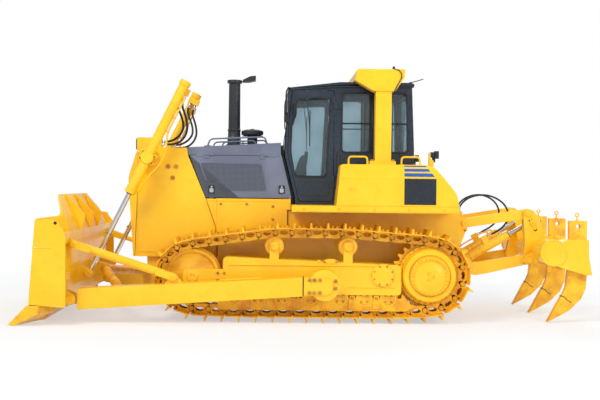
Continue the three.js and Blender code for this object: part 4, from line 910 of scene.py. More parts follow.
def make_cab_side(side_name, side):
    """One side's seals, sliding window, door handle, panel, hinge straps, grab bar, mirror and wiper."""
    door, fixed = f"door_{side_name}", "tractor"
    seal = Form(side)
    gasket(seal, DOOR_GLASS, CAB_HALF)
    seal.done(f"door_glass_seal_{side_name}", "rubber", door, bevel=0.003)
    seal = Form(side)
    gasket(seal, SIDE_GLASS, CAB_HALF)
    seal.plate(rect(-0.82, 2.215, -0.85, 2.99), CAB_HALF - 0.024, CAB_HALF + 0.002)
    seal.plate(rect(-0.8, 2.215, -0.775, 2.99), CAB_HALF - 0.022, CAB_HALF - 0.008)
    seal.plate(rect(-0.42, 2.58, -1.28, 2.6), CAB_HALF - 0.022, CAB_HALF - 0.01)
    seal.done(f"side_window_seal_{side_name}", "rubber", fixed, bevel=0.003)
    # Door handle: an oval escutcheon with a pull across it, and a key lock below.
    handle = Form(side).plate(oval(0.234, 2.765, 0.03, 0.085), CAB_HALF - 0.002, CAB_HALF + 0.012)
    handle.swept(bent([(0.234, CAB_HALF + 0.01, 2.70), (0.234, CAB_HALF + 0.042, 2.715),
                       (0.234, CAB_HALF + 0.042, 2.815), (0.234, CAB_HALF + 0.01, 2.83)], 0.02), 0.0085)
    handle.turned((0.234, CAB_HALF, 2.64), stud(0.016, 0.01, 0.013, 0.012))
    handle.done(f"door_handle_{side_name}", "plastic", door, bevel=0.003)
    # The door's lower panel: a pressed field with a rounded border.
    field = rounded_loop([(-0.24, 1.62), (-0.24, 1.80), (0.17, 1.80), (0.14, 1.62)], 0.04)
    Form(side).plate(field, CAB_HALF - 0.002, CAB_HALF + 0.007).done(
        f"door_panel_{side_name}", "cab", door, bevel=0.004)
    # Hinge straps with two bolts each.
    straps, heads = Form(side), []
    for z in (1.765, 2.825):
        straps.plate(rounded_loop(rect(-0.40, z - 0.045, -0.33, z + 0.045), 0.012),
                     CAB_HALF - 0.001, CAB_HALF + 0.014)
        heads += [((-0.372, CAB_HALF + 0.014, z + dz), LEFT) for dz in (-0.022, 0.022)]
    straps.done(f"hinge_straps_{side_name}", "cab", fixed, bevel=0.003)
    bolts(f"hinge_bolts_{side_name}", mirrored([(*h, UP) for h in heads], side), 0.016, "cab", fixed)
    # The grab bar behind the door, the mirror on its arm and the wiper on the door's pane.
    bars = Form(side)
    bars.swept(bent([(-0.365, CAB_HALF, 2.19), (-0.365, 0.75, 2.19), (-0.345, 0.75, 1.73),
                     (-0.345, CAB_HALF, 1.73)], 0.04), 0.0135)
    bars.done(f"grab_bar_{side_name}", "black", fixed, angle=60)
    mirror = Form(side)
    mirror.swept(bent([(0.275, 0.68, 3.05), (0.31, 0.79, 3.055), (0.34, 0.80, 3.0), (0.34, 0.80, 2.62),
                       (0.335, 0.77, 2.58), (0.314, 0.68, 2.58)], 0.04), 0.009)
    case = rounded_loop(rect(0.79, 2.70, 0.93, 2.96), 0.04)
    mirror.plate(case, 0.325, 0.352, facing_ahead)
    mirror.done(f"mirror_{side_name}", "plastic", fixed, bevel=0.006)
    Form(side).plate(rounded_loop(rect(0.8, 2.71, 0.92, 2.95), 0.035), 0.3215, 0.3255, facing_ahead).done(
        f"mirror_glass_{side_name}", "chrome", fixed)
    wiper = Form(side)
    wiper.turned((0.06, CAB_HALF - 0.02, 2.905), stud(0.02, 0.035, 0.04, 0.012))
    wiper.swept([(0.06, CAB_HALF + 0.014, 2.905), (0.03, CAB_HALF + 0.016, 2.62),
                 (0.02, CAB_HALF + 0.006, 2.5)], 0.006)
    wiper.plate(rect(0.012, 2.28, 0.026, 2.76), CAB_HALF - 0.02, CAB_HALF + 0.006)
    wiper.done(f"door_wiper_{side_name}", "plastic", door, bevel=0.002)


def lamp(name, centre, facing, size, body, housing):
    """A work lamp: a rounded housing with a bezel, a lens and its yoke."""
    (w, h), deep = size, 0.09
    back = Vector(facing).normalized()
    across = UP.cross(back).normalized()
    rise = back.cross(across)
    at = lambda a, b, c: Vector(centre) + across * a + rise * b + back * c
    outline = rounded_loop(rect(-w, -h, w, h), min(w, h) * 0.4)
    small = [(a * 0.72, b * 0.72) for a, b in outline]
    bezel = [(a * 0.88, b * 0.88) for a, b in outline]
    form = Form()
    form.plate(outline, -deep * 0.4, 0.012, at, holes=[bezel])
    form.plate(bezel, -deep * 0.4, -0.004, at)
    form.plate(small, -deep, -deep * 0.35, at)
    form.plate(rect(-w * 0.2, -h - 0.05, w * 0.2, -h * 0.5), -deep * 0.75, -deep * 0.3, at)
    form.done(name, housing, body, bevel=0.004)
    Form().plate(bezel, -0.006, 0.006, at).done(f"{name}_lens", "lens", body, bevel=0.003)


def make_cab_top():
    """Roof ribs, drip rails and aerial, the rear lamps on brackets, and the screens' seals and wipers."""
    for side_name, side in SIDES.items():
        lamp(f"fender_lamp_{side_name}", (-1.65, 0.9 * side, 2.175), -FORWARD, (0.065, 0.05), "tractor",
             "plastic")
        bracket = [(-1.60, 2.02), (-1.60, 2.09), (-1.56, 2.13), (-1.56, 2.2), (-1.54, 2.2), (-1.54, 2.02)]
        Form(side).plate(bracket, 0.86, 0.94).done(f"fender_lamp_bracket_{side_name}", "yellow", "tractor",
                                                   0.004)
    ribs = Form()
    for y in (-0.45, -0.15, 0.15, 0.45):
        ribs.plate([(-1.25, 3.138), (-1.24, 3.15), (-0.42, 3.15), (-0.40, 3.138)], y - 0.05, y + 0.05)
    for side in (1, -1):
        ribs.swept([(0.30, 0.702 * side, 3.035), (-0.40, 0.702 * side, 3.082),
                    (-1.36, 0.702 * side, 3.082)], 0.01)
    ribs.done("roof_ribs", "cab", "tractor", bevel=0.005)
    aerial = Form().turned((-1.33, 0.6, 3.13), [(0, 0), (0, 0.026), (0.02, 0.024), (0.03, 0.012),
                                                (0.03, 0)], UP)
    aerial.swept([(-1.33, 0.6, 3.15), (-1.50, 0.6, 3.20)], 0.006, 8).done("aerial", "rubber", "tractor")
    seal = Form()
    gasket(seal, rect(-0.585, 0.028, 0.585, 0.872), 0, cab_front)
    gasket(seal, rect(-0.52, 2.25, 0.52, 2.985), 0, cab_rear)
    seal.done("screen_seals", "rubber", "tractor", bevel=0.003)
    wipers = Form()
    for place, low in ((cab_front, 0.02), (cab_rear, 2.24)):
        wipers.turned(place(0, low - 0.03, 0), stud(0.03, 0.012, 0.016, 0.024),
                      Vector(place(0, 0, 1)) - Vector(place(0, 0, 0)))
        wipers.swept([place(0, low - 0.03, 0.018), place(0.14, low + 0.2, 0.022),
                      place(0.25, low + 0.42, 0.0)], 0.006)
        wipers.swept([place(0.15, low + 0.2, -0.014), place(0.37, low + 0.66, -0.014)], 0.008, 6)
    wipers.done("screen_wipers", "plastic", "tractor")


def make_seat():
    """A suspension seat: crowned cushion, tall back with side wings, armrests and a bellows pedestal."""
    for part, corners in {
        "operator_seat_cushion": [(-0.80, 1.83), (-0.80, 1.925), (-0.37, 1.95), (-0.36, 1.86)],
        "operator_seat_back": [(-0.84, 1.90), (-0.945, 2.54), (-0.845, 2.56), (-0.72, 1.90)],
    }.items():
        form = Form()
        ring = rounded_loop(corners, 0.035)
        middle, rows = middle_of(ring), []
        for i in range(13):
            t = i / 12 * 2 - 1
            pull = 1 - 0.18 * abs(t) ** 6
            wing = 0.018 * math.exp(-((abs(t) - 0.72) / 0.14) ** 2)
            crease = -0.01 * math.exp(-((abs(t) - 0.5) / 0.035) ** 2)
            row = []
            for a, b in ring:
                away = Vector((a, b)) - middle
                grown = middle + away * (pull + (wing + crease) / max(away.length, 0.05))
                row.append(form.mesh.verts.new((grown[0], t * 0.24, grown[1])))
            rows.append(row)
        for a, b in zip(rows, rows[1:]):
            form._bridge(a, b)
        form.mesh.faces.new(rows[0])
        form.mesh.faces.new(rows[-1])
        replaced = ["operator_seat"] if part.endswith("back") else ()
        piece = form.done(part, "vinyl", "tractor", replaces=replaced, angle=75)
        rounder = piece.modifiers.new("upholstery", "SUBSURF")
        rounder.levels = rounder.render_levels = 1
    base = Form().block((-0.77, -0.17, 1.505), (-0.42, 0.17, 1.56))
    for z in (1.575, 1.615, 1.655, 1.695, 1.735, 1.775):
        base.block((-0.755, -0.155, z - 0.012), (-0.435, 0.155, z + 0.012))
    base.block((-0.73, -0.13, 1.55), (-0.46, 0.13, 1.80)).block((-0.79, -0.2, 1.79), (-0.40, 0.2, 1.835))
    base.done("operator_seat_pedestal", "rubber", "tractor", bevel=0.008)
    rest = Form()
    for side in (1, -1):
        rest.block((-0.72, side * 0.255 - 0.012, 1.88), (-0.68, side * 0.255 + 0.012, 2.10))
        rest.block((-0.75, side * 0.27 - 0.03, 2.09), (-0.45, side * 0.27 + 0.03, 2.13))
    rest.done("operator_seat_armrests", "vinyl", "tractor", bevel=0.012, segments=3)


def make_controls():
    """Levers with gaiters and knobs, the monitor on the dash, and the pedals."""
    form = Form()
    for side in (1, -1):
        y = 0.37 * side
        gaiter = [(0.0, 0), (0.0, 0.05)]
        for fold in range(4):
            gaiter += [(0.012 + 0.018 * fold, 0.046 - 0.008 * fold),
                       (0.02 + 0.018 * fold, 0.036 - 0.007 * fold)]
        form.turned((-0.3, y, 2.055), gaiter + [(0.09, 0.012), (0.09, 0)], UP, 24)
        knob = [(0, 0), (0, 0.014), (0.03, 0.022), (0.09, 0.03), (0.13, 0.028), (0.15, 0.018), (0.156, 0)]
        form.turned((-0.288, y, 2.14), knob, UP, 24)
    form.done("control_levers", "plastic", "tractor", angle=50)
    Form().plate(rounded_loop([(0.035, 2.05), (0.02, 2.22), (0.06, 2.235), (0.09, 2.06)], 0.01), -0.14,
                 0.14).done(
        "monitor", "plastic", "tractor", bevel=0.006)
    pedals = Form()
    for y in (-0.22, 0.0, 0.2):
        pedals.plate([(0.02, 1.62), (-0.03, 1.75), (-0.015, 1.755), (0.035, 1.625)], y - 0.04, y + 0.04)
        pedals.swept([(0.02, y, 1.66), (0.06, y, 1.66)], 0.012)
    pedals.done("pedals", "rubber", "tractor", bevel=0.004)


for side_name, side in SIDES.items():
    make_cab_side(side_name, side)
make_cab_shell()
make_cab_top()
make_seat()
make_controls()


# ---------- hood, guard, fenders and roll-over frame ----------

COVER_FACE = 0.64


def make_engine_cover(side_name, side):
    """An engine cover's dark corner, screen with a lip and two latches, and the hood's laps and rails."""
    body = f"cover_{side_name}"
    # A darker triangle over the cover's front lower corner, and a darker patch where it crosses the screen.
    corner = [(1.617, 2.138), (1.398, 1.588), (0.965, 1.588)]
    darker_patch = [(1.478, 2.02), (1.10, 1.70), (1.25, 1.808), (1.395, 1.808)]
    Form(side).plate(corner, COVER_FACE - 0.002, COVER_FACE + 0.0025).plate(
        darker_patch, COVER_FACE - 0.001, COVER_FACE + 0.0055).done(
        f"cover_corner_{side_name}", "shade", body, bevel=0.001)
    mesh = [(1.49, 2.04), (0.65, 2.03), (0.585, 1.68), (1.08, 1.68), (1.25, 1.80), (1.40, 1.80)]
    ring = rounded_loop(mesh, 0.03)
    centre = Vector((1.03, 1.88))
    inner = [tuple(centre + (Vector(p) - centre) * 0.97) for p in ring]
    Form(side).plate(inner, COVER_FACE - 0.002, COVER_FACE + 0.004).done(
        f"cover_screen_{side_name}", "screen", body)
    Form(side).plate(ring, COVER_FACE - 0.002, COVER_FACE + 0.009, holes=[inner]).done(
        f"cover_screen_lip_{side_name}", "slate", body, bevel=0.002)
    latches, paddles = Form(side), Form(side)
    for x, z in ((1.325, 1.69), (0.385, 1.695)):
        plate = rounded_loop(rect(x - 0.042, z - 0.055, x + 0.042, z + 0.055), 0.01)
        latches.plate(plate, COVER_FACE - 0.001, COVER_FACE + 0.006)
        paddles.plate(rounded_loop(rect(x - 0.026, z - 0.04, x + 0.026, z + 0.015), 0.008),
                      COVER_FACE + 0.005, COVER_FACE + 0.016)
        paddles.turned((x, COVER_FACE + 0.004, z + 0.033), stud(0.013, 0.01, 0.012, 0.01))
    latches.done(f"cover_latch_plates_{side_name}", "plastic", body, bevel=0.002)
    paddles.done(f"cover_latch_paddles_{side_name}", "chrome", body, bevel=0.002)
    # The hood's lower edge carries two drop notches that lap the cover.
    laps = Form(side)
    for x0, x1 in ((1.54, 1.30), (0.66, 0.44)):
        laps.plate([(x0, 2.19), (x1, 2.19), (x1, 2.152), (x1 + 0.03, 2.128), (x0 - 0.03, 2.128),
                    (x0, 2.152)],
                   COVER_FACE - 0.001, COVER_FACE + 0.004)
    laps.done(f"hood_laps_{side_name}", "slate", "tractor", bevel=0.0015)
    rail = Form(side)
    rail.swept(bent([(1.40, 0.53, 2.24), (1.36, 0.53, 2.37), (0.62, 0.53, 2.405), (0.585, 0.53, 2.30)],
                    0.05), 0.011)
    rail.swept([(0.95, 0.53, 2.39), (0.95, 0.53, 2.27)], 0.01)
    rail.swept(bent([(1.22, 0.36, 2.25), (1.18, 0.36, 2.335), (0.76, 0.36, 2.36), (0.73, 0.36, 2.28)],
                    0.04), 0.01)
    for x, y, z in ((1.40, 0.53, 2.243), (0.585, 0.53, 2.308), (0.95, 0.53, 2.28), (1.22, 0.36, 2.262),
                    (0.73, 0.36, 2.297)):
        rail.turned((x, y, z), disc(0.028, 0.012), UP, 16)
    rail.done(f"hood_rail_{side_name}", "slate", "tractor", angle=50)


def make_stacks():
    """The heat-shielded exhaust with its counterweighted rain flap, and the intake's spinner bowl."""
    x, y = 1.054, 0.06
    form = Form().turned((x, y, 2.28), [
        (0, 0), (0, 0.094), (0.135, 0.094), (0.145, 0.088), (0.22, 0.086), (0.225, 0.092), (0.245, 0.092),
        (0.25, 0.083), (0.885, 0.08), (0.89, 0.103), (0.93, 0.103), (0.935, 0.097), (0.935, 0.07),
        (0.70, 0.068), (0.70, 0)], UP, 48)
    band = Vector((x, y, 2.39))
    for turn in range(3):
        way = spoke(2 * math.pi * turn / 3 + 0.5)
        form.swept([band + way * 0.08, band + way * 0.106], 0.008, 6)
    form.swept([(0.935, 0.01, 3.195), (0.935, 0.11, 3.195)], 0.014, 12)
    form.plate([(0.94, 3.185), (0.86, 3.185), (0.76, 3.205), (0.76, 3.275), (0.84, 3.265), (0.94, 3.215)],
               -0.02, 0.14)
    form.done("exhaust", "black", "tractor", bevel=0.003, replaces=["exhaust_stack"])
    bowl = Form().turned((0.80, 0.06, 2.29), [
        (0, 0), (0, 0.07), (0.14, 0.07), (0.15, 0.075), (0.155, 0.12), (0.165, 0.152), (0.205, 0.154),
        (0.22, 0.145), (0.235, 0.09), (0.238, 0.03), (0.245, 0.028), (0.25, 0)], UP, 48)
    centre, fins = Vector((0.80, 0.06, 2.437)), 18
    for fin in range(fins):
        way = spoke(2 * math.pi * fin / fins)
        bowl.swept([centre + way * 0.08, centre + way * 0.145], 0.005, 4)
    bowl.done("intake_precleaner", "black", "tractor", bevel=0.002, replaces=["air_precleaner"])
    caps = Form()
    for x, y, z, r in ((0.62, -0.18, 2.30, 0.05), (1.42, 0.0, 2.27, 0.06)):
        caps.turned((x, y, z), [(0, 0), (0, r), (0.02, r), (0.03, r * 0.8), (0.035, 0)], UP, 32)
    caps.done("filler_caps", "black", "tractor", bevel=0.002)


def make_hood_fillers():
    """The firewall's rubber panel behind the hood, its black partly painted shade of the gap there, and the
    side plates that run up to the guard.
    """
    # The firewall is black: partly its own rubber, partly painted shade of the gap between the hood and the
    # cab.
    wall = [(0.222, 1.50), (0.222, 1.59), (0.362, 2.16), (0.362, 2.29), (0.402, 2.29), (0.388, 2.14),
            (0.255, 1.58), (0.255, 1.50)]
    Form().plate(wall, -0.60, 0.60).done("firewall", "rubber", "tractor", bevel=0.004)
    for side_name, side in SIDES.items():
        form = Form(side).plate([(1.255, 1.565), (1.396, 1.565), (1.268, 1.205), (1.266, 0.79),
                                 (1.255, 0.79)], 0.619, 0.641)
        form.plate(rect(0.262, 1.425, 0.375, 1.572), 0.619, 0.6425)
        form.plate(rect(1.25, 0.79, 1.258, 1.565), 0.634, 0.645)
        form.plate(rect(0.45, 1.535, 1.38, 1.545), 0.638, 0.645)
        form.done(f"hull_side_plate_{side_name}", "yellow", "tractor", bevel=0.002)
        heads = [((x, 0.641, z), LEFT, UP) for x, z in ((0.50, 1.47), (0.50, 1.30), (0.85, 1.50),
                                                        (1.20, 1.50))]
        bolts(f"hull_side_bolts_{side_name}", mirrored(heads, side), 0.026, "bolt", "tractor")


def make_guard(side_name, side):
    """A head lamp's lens and shade, the guard's side bolts and its seams."""
    y, z = 0.445, 2.29
    ring = rounded_loop(rect(y - 0.085, 2.225, y + 0.085, 2.355), 0.03)
    Form(side).plate(ring, 2.338, 2.35, facing_ahead).done(
        f"head_lamp_lens_{side_name}", "lens", "tractor", bevel=0.004)
    shade = [(a + (a - y) * 0.16, b + (b - z) * 0.16) for a, b in ring]
    Form(side).plate(shade, 2.338, 2.356, facing_ahead, holes=[ring]).done(
        f"head_lamp_shade_{side_name}", "plastic", "tractor", bevel=0.002)
    heads = [((x, 0.662, z), LEFT, UP) for x, z in ((1.905, 1.99), (1.80, 1.99), (1.845, 1.84))]
    bolts(f"guard_side_bolts_{side_name}", mirrored(heads, side), 0.04, "bolt", "tractor")
    edge = Form(side)
    edge.plate(rect(2.30, 0.80, 2.312, 2.16), 0.655, 0.668)
    edge.plate([(1.27, 0.90), (1.27, 1.19), (1.40, 1.565), (1.415, 1.56), (1.285, 1.185), (1.285, 0.90)],
               0.655, 0.668)
    edge.plate(rect(1.30, 0.845, 2.30, 0.857), 0.655, 0.668)
    edge.done(f"guard_seams_{side_name}", "yellow", "tractor", bevel=0.003)


FENDER_OUT, FENDER_CREASE = 1.222, 1.866


def fender_face(z):
    """How far out a fender's side face lies at a height: it leans in above the crease."""
    return FENDER_OUT - 0.06 * max(0.0, (z - FENDER_CREASE) / 0.17)


def make_fender_trim(side_name, side):
    """Stripes and a blank dark field, grab rails, the service door's seams, bolts and the deck's treads."""
    out = lambda a, b, c: (a, fender_face(b) + c, b)
    stripes = Form(side)
    for low, high in ((2.009, 2.026), (1.949, 1.985), (1.883, 1.928)):
        ends = [-1.588 + 0.80 * (z - FENDER_CREASE) for z in (low, high)]
        stripes.plate([(-1.182, low), (-1.182, high), (ends[1], high), (ends[0], low)], -0.001, 0.0015, out)
    stripes.done(f"fender_stripes_{side_name}", "blue", "tractor")
    Form(side).plate(rect(-1.182, 1.522, -1.592, 1.858), -0.001, 0.0015, out).done(
        f"fender_field_{side_name}", "night", "tractor")
    rails = Form(side)
    for x0, x1 in ((-0.475, -0.718), (-1.162, -1.40)):
        rails.swept(bent([(x0, 1.06, 2.03), (x0, 1.06, 2.138), (x1, 1.06, 2.138), (x1, 1.06, 2.03)], 0.045),
                    0.0125)
        for x in (x0, x1):
            rails.turned((x, 1.06, 2.034), disc(0.03, 0.008), UP, 16)
    rails.done(f"fender_rails_{side_name}", "yellow", "tractor", angle=50)
    seams = Form(side)
    seams.plate(rect(-0.34, 1.5, -1.87, 1.507), -0.001, 0.004, out)
    seams.plate(rounded_loop(rect(-0.47, 1.69, -0.58, 1.76), 0.008), -0.001, 0.006, out)
    seams.plate(rect(0.2, 1.425, -1.87, 1.432), -0.001, 0.004, out)
    seams.done(f"fender_seams_{side_name}", "yellow", "tractor", bevel=0.0015)
    heads = [((x, fender_face(z), z), LEFT, UP) for x, z in ((-0.50, 1.725), (-0.55, 1.725))]
    heads += [((x, FENDER_OUT, 1.458), LEFT, UP) for x in (0.1, -0.35, -0.8, -1.25, -1.7)]
    bolts(f"fender_bolts_{side_name}", mirrored(heads, side), 0.02, "yellow", "tractor")
    treads = Form(side)
    for i in range(7):
        for j in range(5):
            x, y = 0.19 - 0.07 * i, 0.80 + 0.085 * j
            treads.plate([(x, y), (x + 0.014, y + 0.03), (x + 0.019, y + 0.028), (x + 0.005, y - 0.002)],
                         1.499, 1.503, lambda a, b, c: (a, b, c))
    treads.done(f"deck_treads_{side_name}", "yellow", "tractor")


def make_roof_frame(side_name, side):
    """Foot bolts, weld beads and the harness that runs up a post of the roll-over frame."""
    heads = [((x, y, 2.082), UP, FORWARD) for x in (-1.06, -0.785) for y in (0.865, 0.935, 1.005)]
    bolts(f"roof_frame_bolts_{side_name}", mirrored(heads, side), 0.032, "bolt", "tractor")
    beads = Form(side)
    for x0, x1, y0, y1, z in ((-1.035, -0.816, 0.836, 1.036, 2.084), (-1.05, -0.80, 0.83, 1.04, 2.997)):
        ring = bent([(x0, y0, z), (x0, y1, z), (x1, y1, z), (x1, y0, z), (x0, y0, z)], 0.02)
        beads.swept(ring, 0.008, 8)
    beads.done(f"roof_frame_welds_{side_name}", "yellow", "tractor")
    harness = Form(side)
    harness.swept(bent([(-1.056, 1.038, 3.283), (-1.13, 1.044, 3.265), (-1.165, 1.044, 3.19),
                        (-1.07, 1.044, 3.01), (-1.045, 1.03, 2.94), (-1.042, 0.99, 2.2)], 0.06), 0.006, 8)
    harness.turned((-1.056, 1.0, 3.276), [(0, 0), (0, 0.02), (0.03, 0.018), (0.045, 0.008), (0.045, 0)], UP,
                   20)
    harness.done(f"roof_frame_harness_{side_name}", "rubber", "tractor")


for side_name, side in SIDES.items():
    make_engine_cover(side_name, side)
    make_guard(side_name, side)
    make_fender_trim(side_name, side)
    make_roof_frame(side_name, side)
make_stacks()
make_hood_fillers()


# ---------- blade, arms and lift cylinders ----------

def line_frame(start, end, y):
    """A slanting line at a constant y: gives at(along, off, out), a place along it, and its direction."""
    start, end = Vector((start[0], y, start[1])), Vector((end[0], y, end[1]))
    way = (end - start).normalized()
    off = LEFT.cross(way)
    return (lambda along, aside=0.0, out=0.0: start + way * along + off * aside + LEFT * out), way


def pin_head(form, centre, radius, proud, facing=LEFT):
    """The end of a joint pin: a chamfered head with a turned groove and a grease nipple."""
    form.turned(centre, [(0, 0), (0, radius), (proud * 0.7, radius), (proud, radius * 0.86),
                         (proud, radius * 0.45), (proud * 0.8, radius * 0.4), (proud * 0.8, 0)], facing, 32)
    form.turned(Vector(centre) + Vector(facing) * proud * 0.7, [(0, 0), (0, 0.007), (0.014, 0.006),
                                                                (0.02, 0)], facing, 10)


def lock_plate(form, centre, way):
    """A pear-shaped keeper beside a pin, with its own bolt boss."""
    side = Vector(way).normalized()
    for share, radius, thick in ((0.0, 0.052, 0.012), (0.055, 0.034, 0.0105), (0.085, 0.026, 0.009)):
        form.turned(Vector(centre) + side * share, disc(radius, thick), LEFT, 28)
    form.turned(Vector(centre) + side * 0.085, disc(0.013, 0.02), LEFT, 6)


def make_lift_cylinder(side_name, side):
    """A barrel's turned skin with its gland, head and trunnion caps, the feed pipe, rod and lower pin."""
    at, way = line_frame((2.15, 2.10), (2.90, 0.58), 0.92)
    back = -way
    form = Form(side).turned(at(0), [
        (-0.527, 0.038), (-0.527, 0.046), (-0.522, 0.07), (-0.518, 0.0745), (-0.434, 0.0745),
        (-0.428, 0.07), (-0.426, 0.0652), (0.92, 0.0652), (0.925, 0.069), (0.96, 0.069), (0.965, 0.0652),
        (1.05, 0.0652), (1.056, 0.0745), (1.118, 0.0745), (1.124, 0.066), (1.124, 0.038)], back, 40)
    form.turned(at(0, 0, -0.11), disc(0.0845, 0.06), LEFT, 40)
    form.turned(at(0, 0, 0.045), stud(0.0845, 0.033, 0.04, 0.078), LEFT, 40)
    form.done(f"lift_barrel_skin_{side_name}", "yellow", "lift_barrels")
    caps, heads = Form(side), []
    for aside in (-0.083, 0.083):
        for along in (-0.045, 0.045):
            centre = at(along, aside, 0.01)
            caps.turned(centre - LEFT * 0.045, stud(0.03, 0.075, 0.08, 0.024), LEFT, 24)
            heads.append((centre + LEFT * 0.034, LEFT, UP))
    for aside in (-0.03, 0.03):
        heads += [(at(1.125, aside, out), back, LEFT) for out in (-0.03, 0.03)]
    caps.done(f"lift_trunnion_caps_{side_name}", "yellow", "lift_barrels", bevel=0.002)
    bolts(f"lift_cylinder_bolts_{side_name}", mirrored(heads, side), 0.024, "bolt", "lift_barrels")
    pipe = Form(side)
    run = [(0.93, 0.06), (0.90, 0.085), (0.40, 0.088), (0.27, 0.14), (0.157, 0.185), (-0.02, 0.185),
           (-0.21, 0.125), (-0.41, 0.10), (-0.46, 0.09), (-0.475, 0.06)]
    pipe.swept(bent([at(-a, b, 0.012) for a, b in run], 0.06), 0.0125)
    for a, b in ((0.85, 0.0855), (0.62, 0.087), (0.42, 0.088), (-0.45, 0.094)):
        pipe.turned(at(-a - 0.012, b, 0.012), disc(0.019, 0.024), way, 16)
        pipe.swept([at(-a, b, 0.012), at(-a, 0.05, 0.012)], 0.009, 6)
    pipe.done(f"lift_feed_pipe_{side_name}", "yellow", "lift_barrels", angle=50)
    gland = Form(side).turned(at(0.52), [(0, 0.0335), (0, 0.045), (0.014, 0.043), (0.018, 0.0335)], way, 32)
    gland.done(f"lift_wiper_{side_name}", "rubber", "lift_barrels")
    Form(side).turned(at(0.49), sleeve(0.028, 0.0335, 0.70), way, 40).done(
        f"lift_rod_surface_{side_name}", "chrome", "lift_rods")
    eye = Form(side)
    pin_head(eye, (2.90, 1.015, 0.58), 0.042, 0.02)
    pin_head(eye, (2.90, 0.825, 0.58), 0.042, 0.02, -LEFT)
    eye.done(f"lift_eye_pin_{side_name}", "yellow", "blade_assembly")


def make_arm(side_name, side):
    """A push arm's pins, bolted trunnion cap and weld beads, and a black disc painted in as the shade of
    the hole in the blade's end.
    """
    face = 1.548
    pins, heads = Form(side), []
    pin_head(pins, (3.02, 1.562, 0.30), 0.05, 0.018)
    pins.turned((3.02, 1.552, 0.30), disc(0.066, 0.006), LEFT, 36)
    for x, z in ((1.735, 0.584), (3.0, 0.986)):
        pin_head(pins, (x, 1.498, z), 0.034, 0.022)
        pins.turned((x, 1.494, z), disc(0.048, 0.008), LEFT, 32)
    pins.done(f"arm_pins_{side_name}", "yellow", "blade_assembly")
    cap = rounded_loop([(0.10, 0.39), (0.10, 0.605), (-0.19, 0.605), (-0.26, 0.56), (-0.26, 0.44),
                        (-0.19, 0.39)], 0.03)
    Form(side).plate(cap, face - 0.003, face + 0.02).done(f"arm_cap_{side_name}", "yellow",
                                                          "blade_assembly", 0.005)
    Form(side).plate(rect(0.104, 0.375, 0.116, 0.628), face - 0.002, face + 0.0015).done(
        f"arm_cap_joint_{side_name}", "rubber", "blade_assembly")
    heads += [((x, face + 0.02, z), LEFT, UP) for x in (0.03, -0.03, -0.10) for z in (0.42, 0.578)]
    heads += [((x, face, z), LEFT, UP) for x, z in ((-0.295, 0.565), (-0.295, 0.475))]
    bolts(f"arm_cap_bolts_{side_name}", mirrored(heads, side), 0.034, "bolt", "blade_assembly")
    seams = Form(side)
    seams.swept([(1.15, 1.53, 0.562), (0.62, 1.53, 0.596)], 0.008, 8)
    seams.swept([(3.43, 1.835, 0.962), (3.20, 1.837, 0.958)], 0.007, 8)
    seams.turned((3.149, 1.832, 1.264), sleeve(0.02, 0.03, 0.008), LEFT, 24)
    seams.done(f"arm_welds_{side_name}", "yellow", "blade_assembly")
    # A black disc where the hole is: painted shade, as the hole itself is not cut.
    Form(side).turned((3.149, 1.834, 1.264), disc(0.021, 0.003), LEFT, 24).done(
        f"blade_end_hole_{side_name}", "rubber", "blade_assembly")


def make_blade_trim():
    """Two rows of bolts along the cutting edge, and the ribs' weld beads behind the blade."""
    ahead = Vector((0.785, 0, 0.619))
    places = [(Vector((x, 1.24 * (i / 11 - 1), z)), ahead, LEFT)
              for x, z in ((3.262, 0.225), (3.318, 0.154)) for i in range(23)]
    bolts("cutting_edge_bolts", places, 0.036, "wear", "blade_assembly")
    beads = Form()
    for y in (-0.64, 0, 0.64):
        for out in (-0.021, 0.021):
            beads.swept([(3.10, y + out, 1.155), (3.255, y + out, 1.56)], 0.006, 6)
    beads.done("blade_welds", "yellow", "blade_assembly")


# ---------- track frames ----------

FRAME_FACE = 1.165


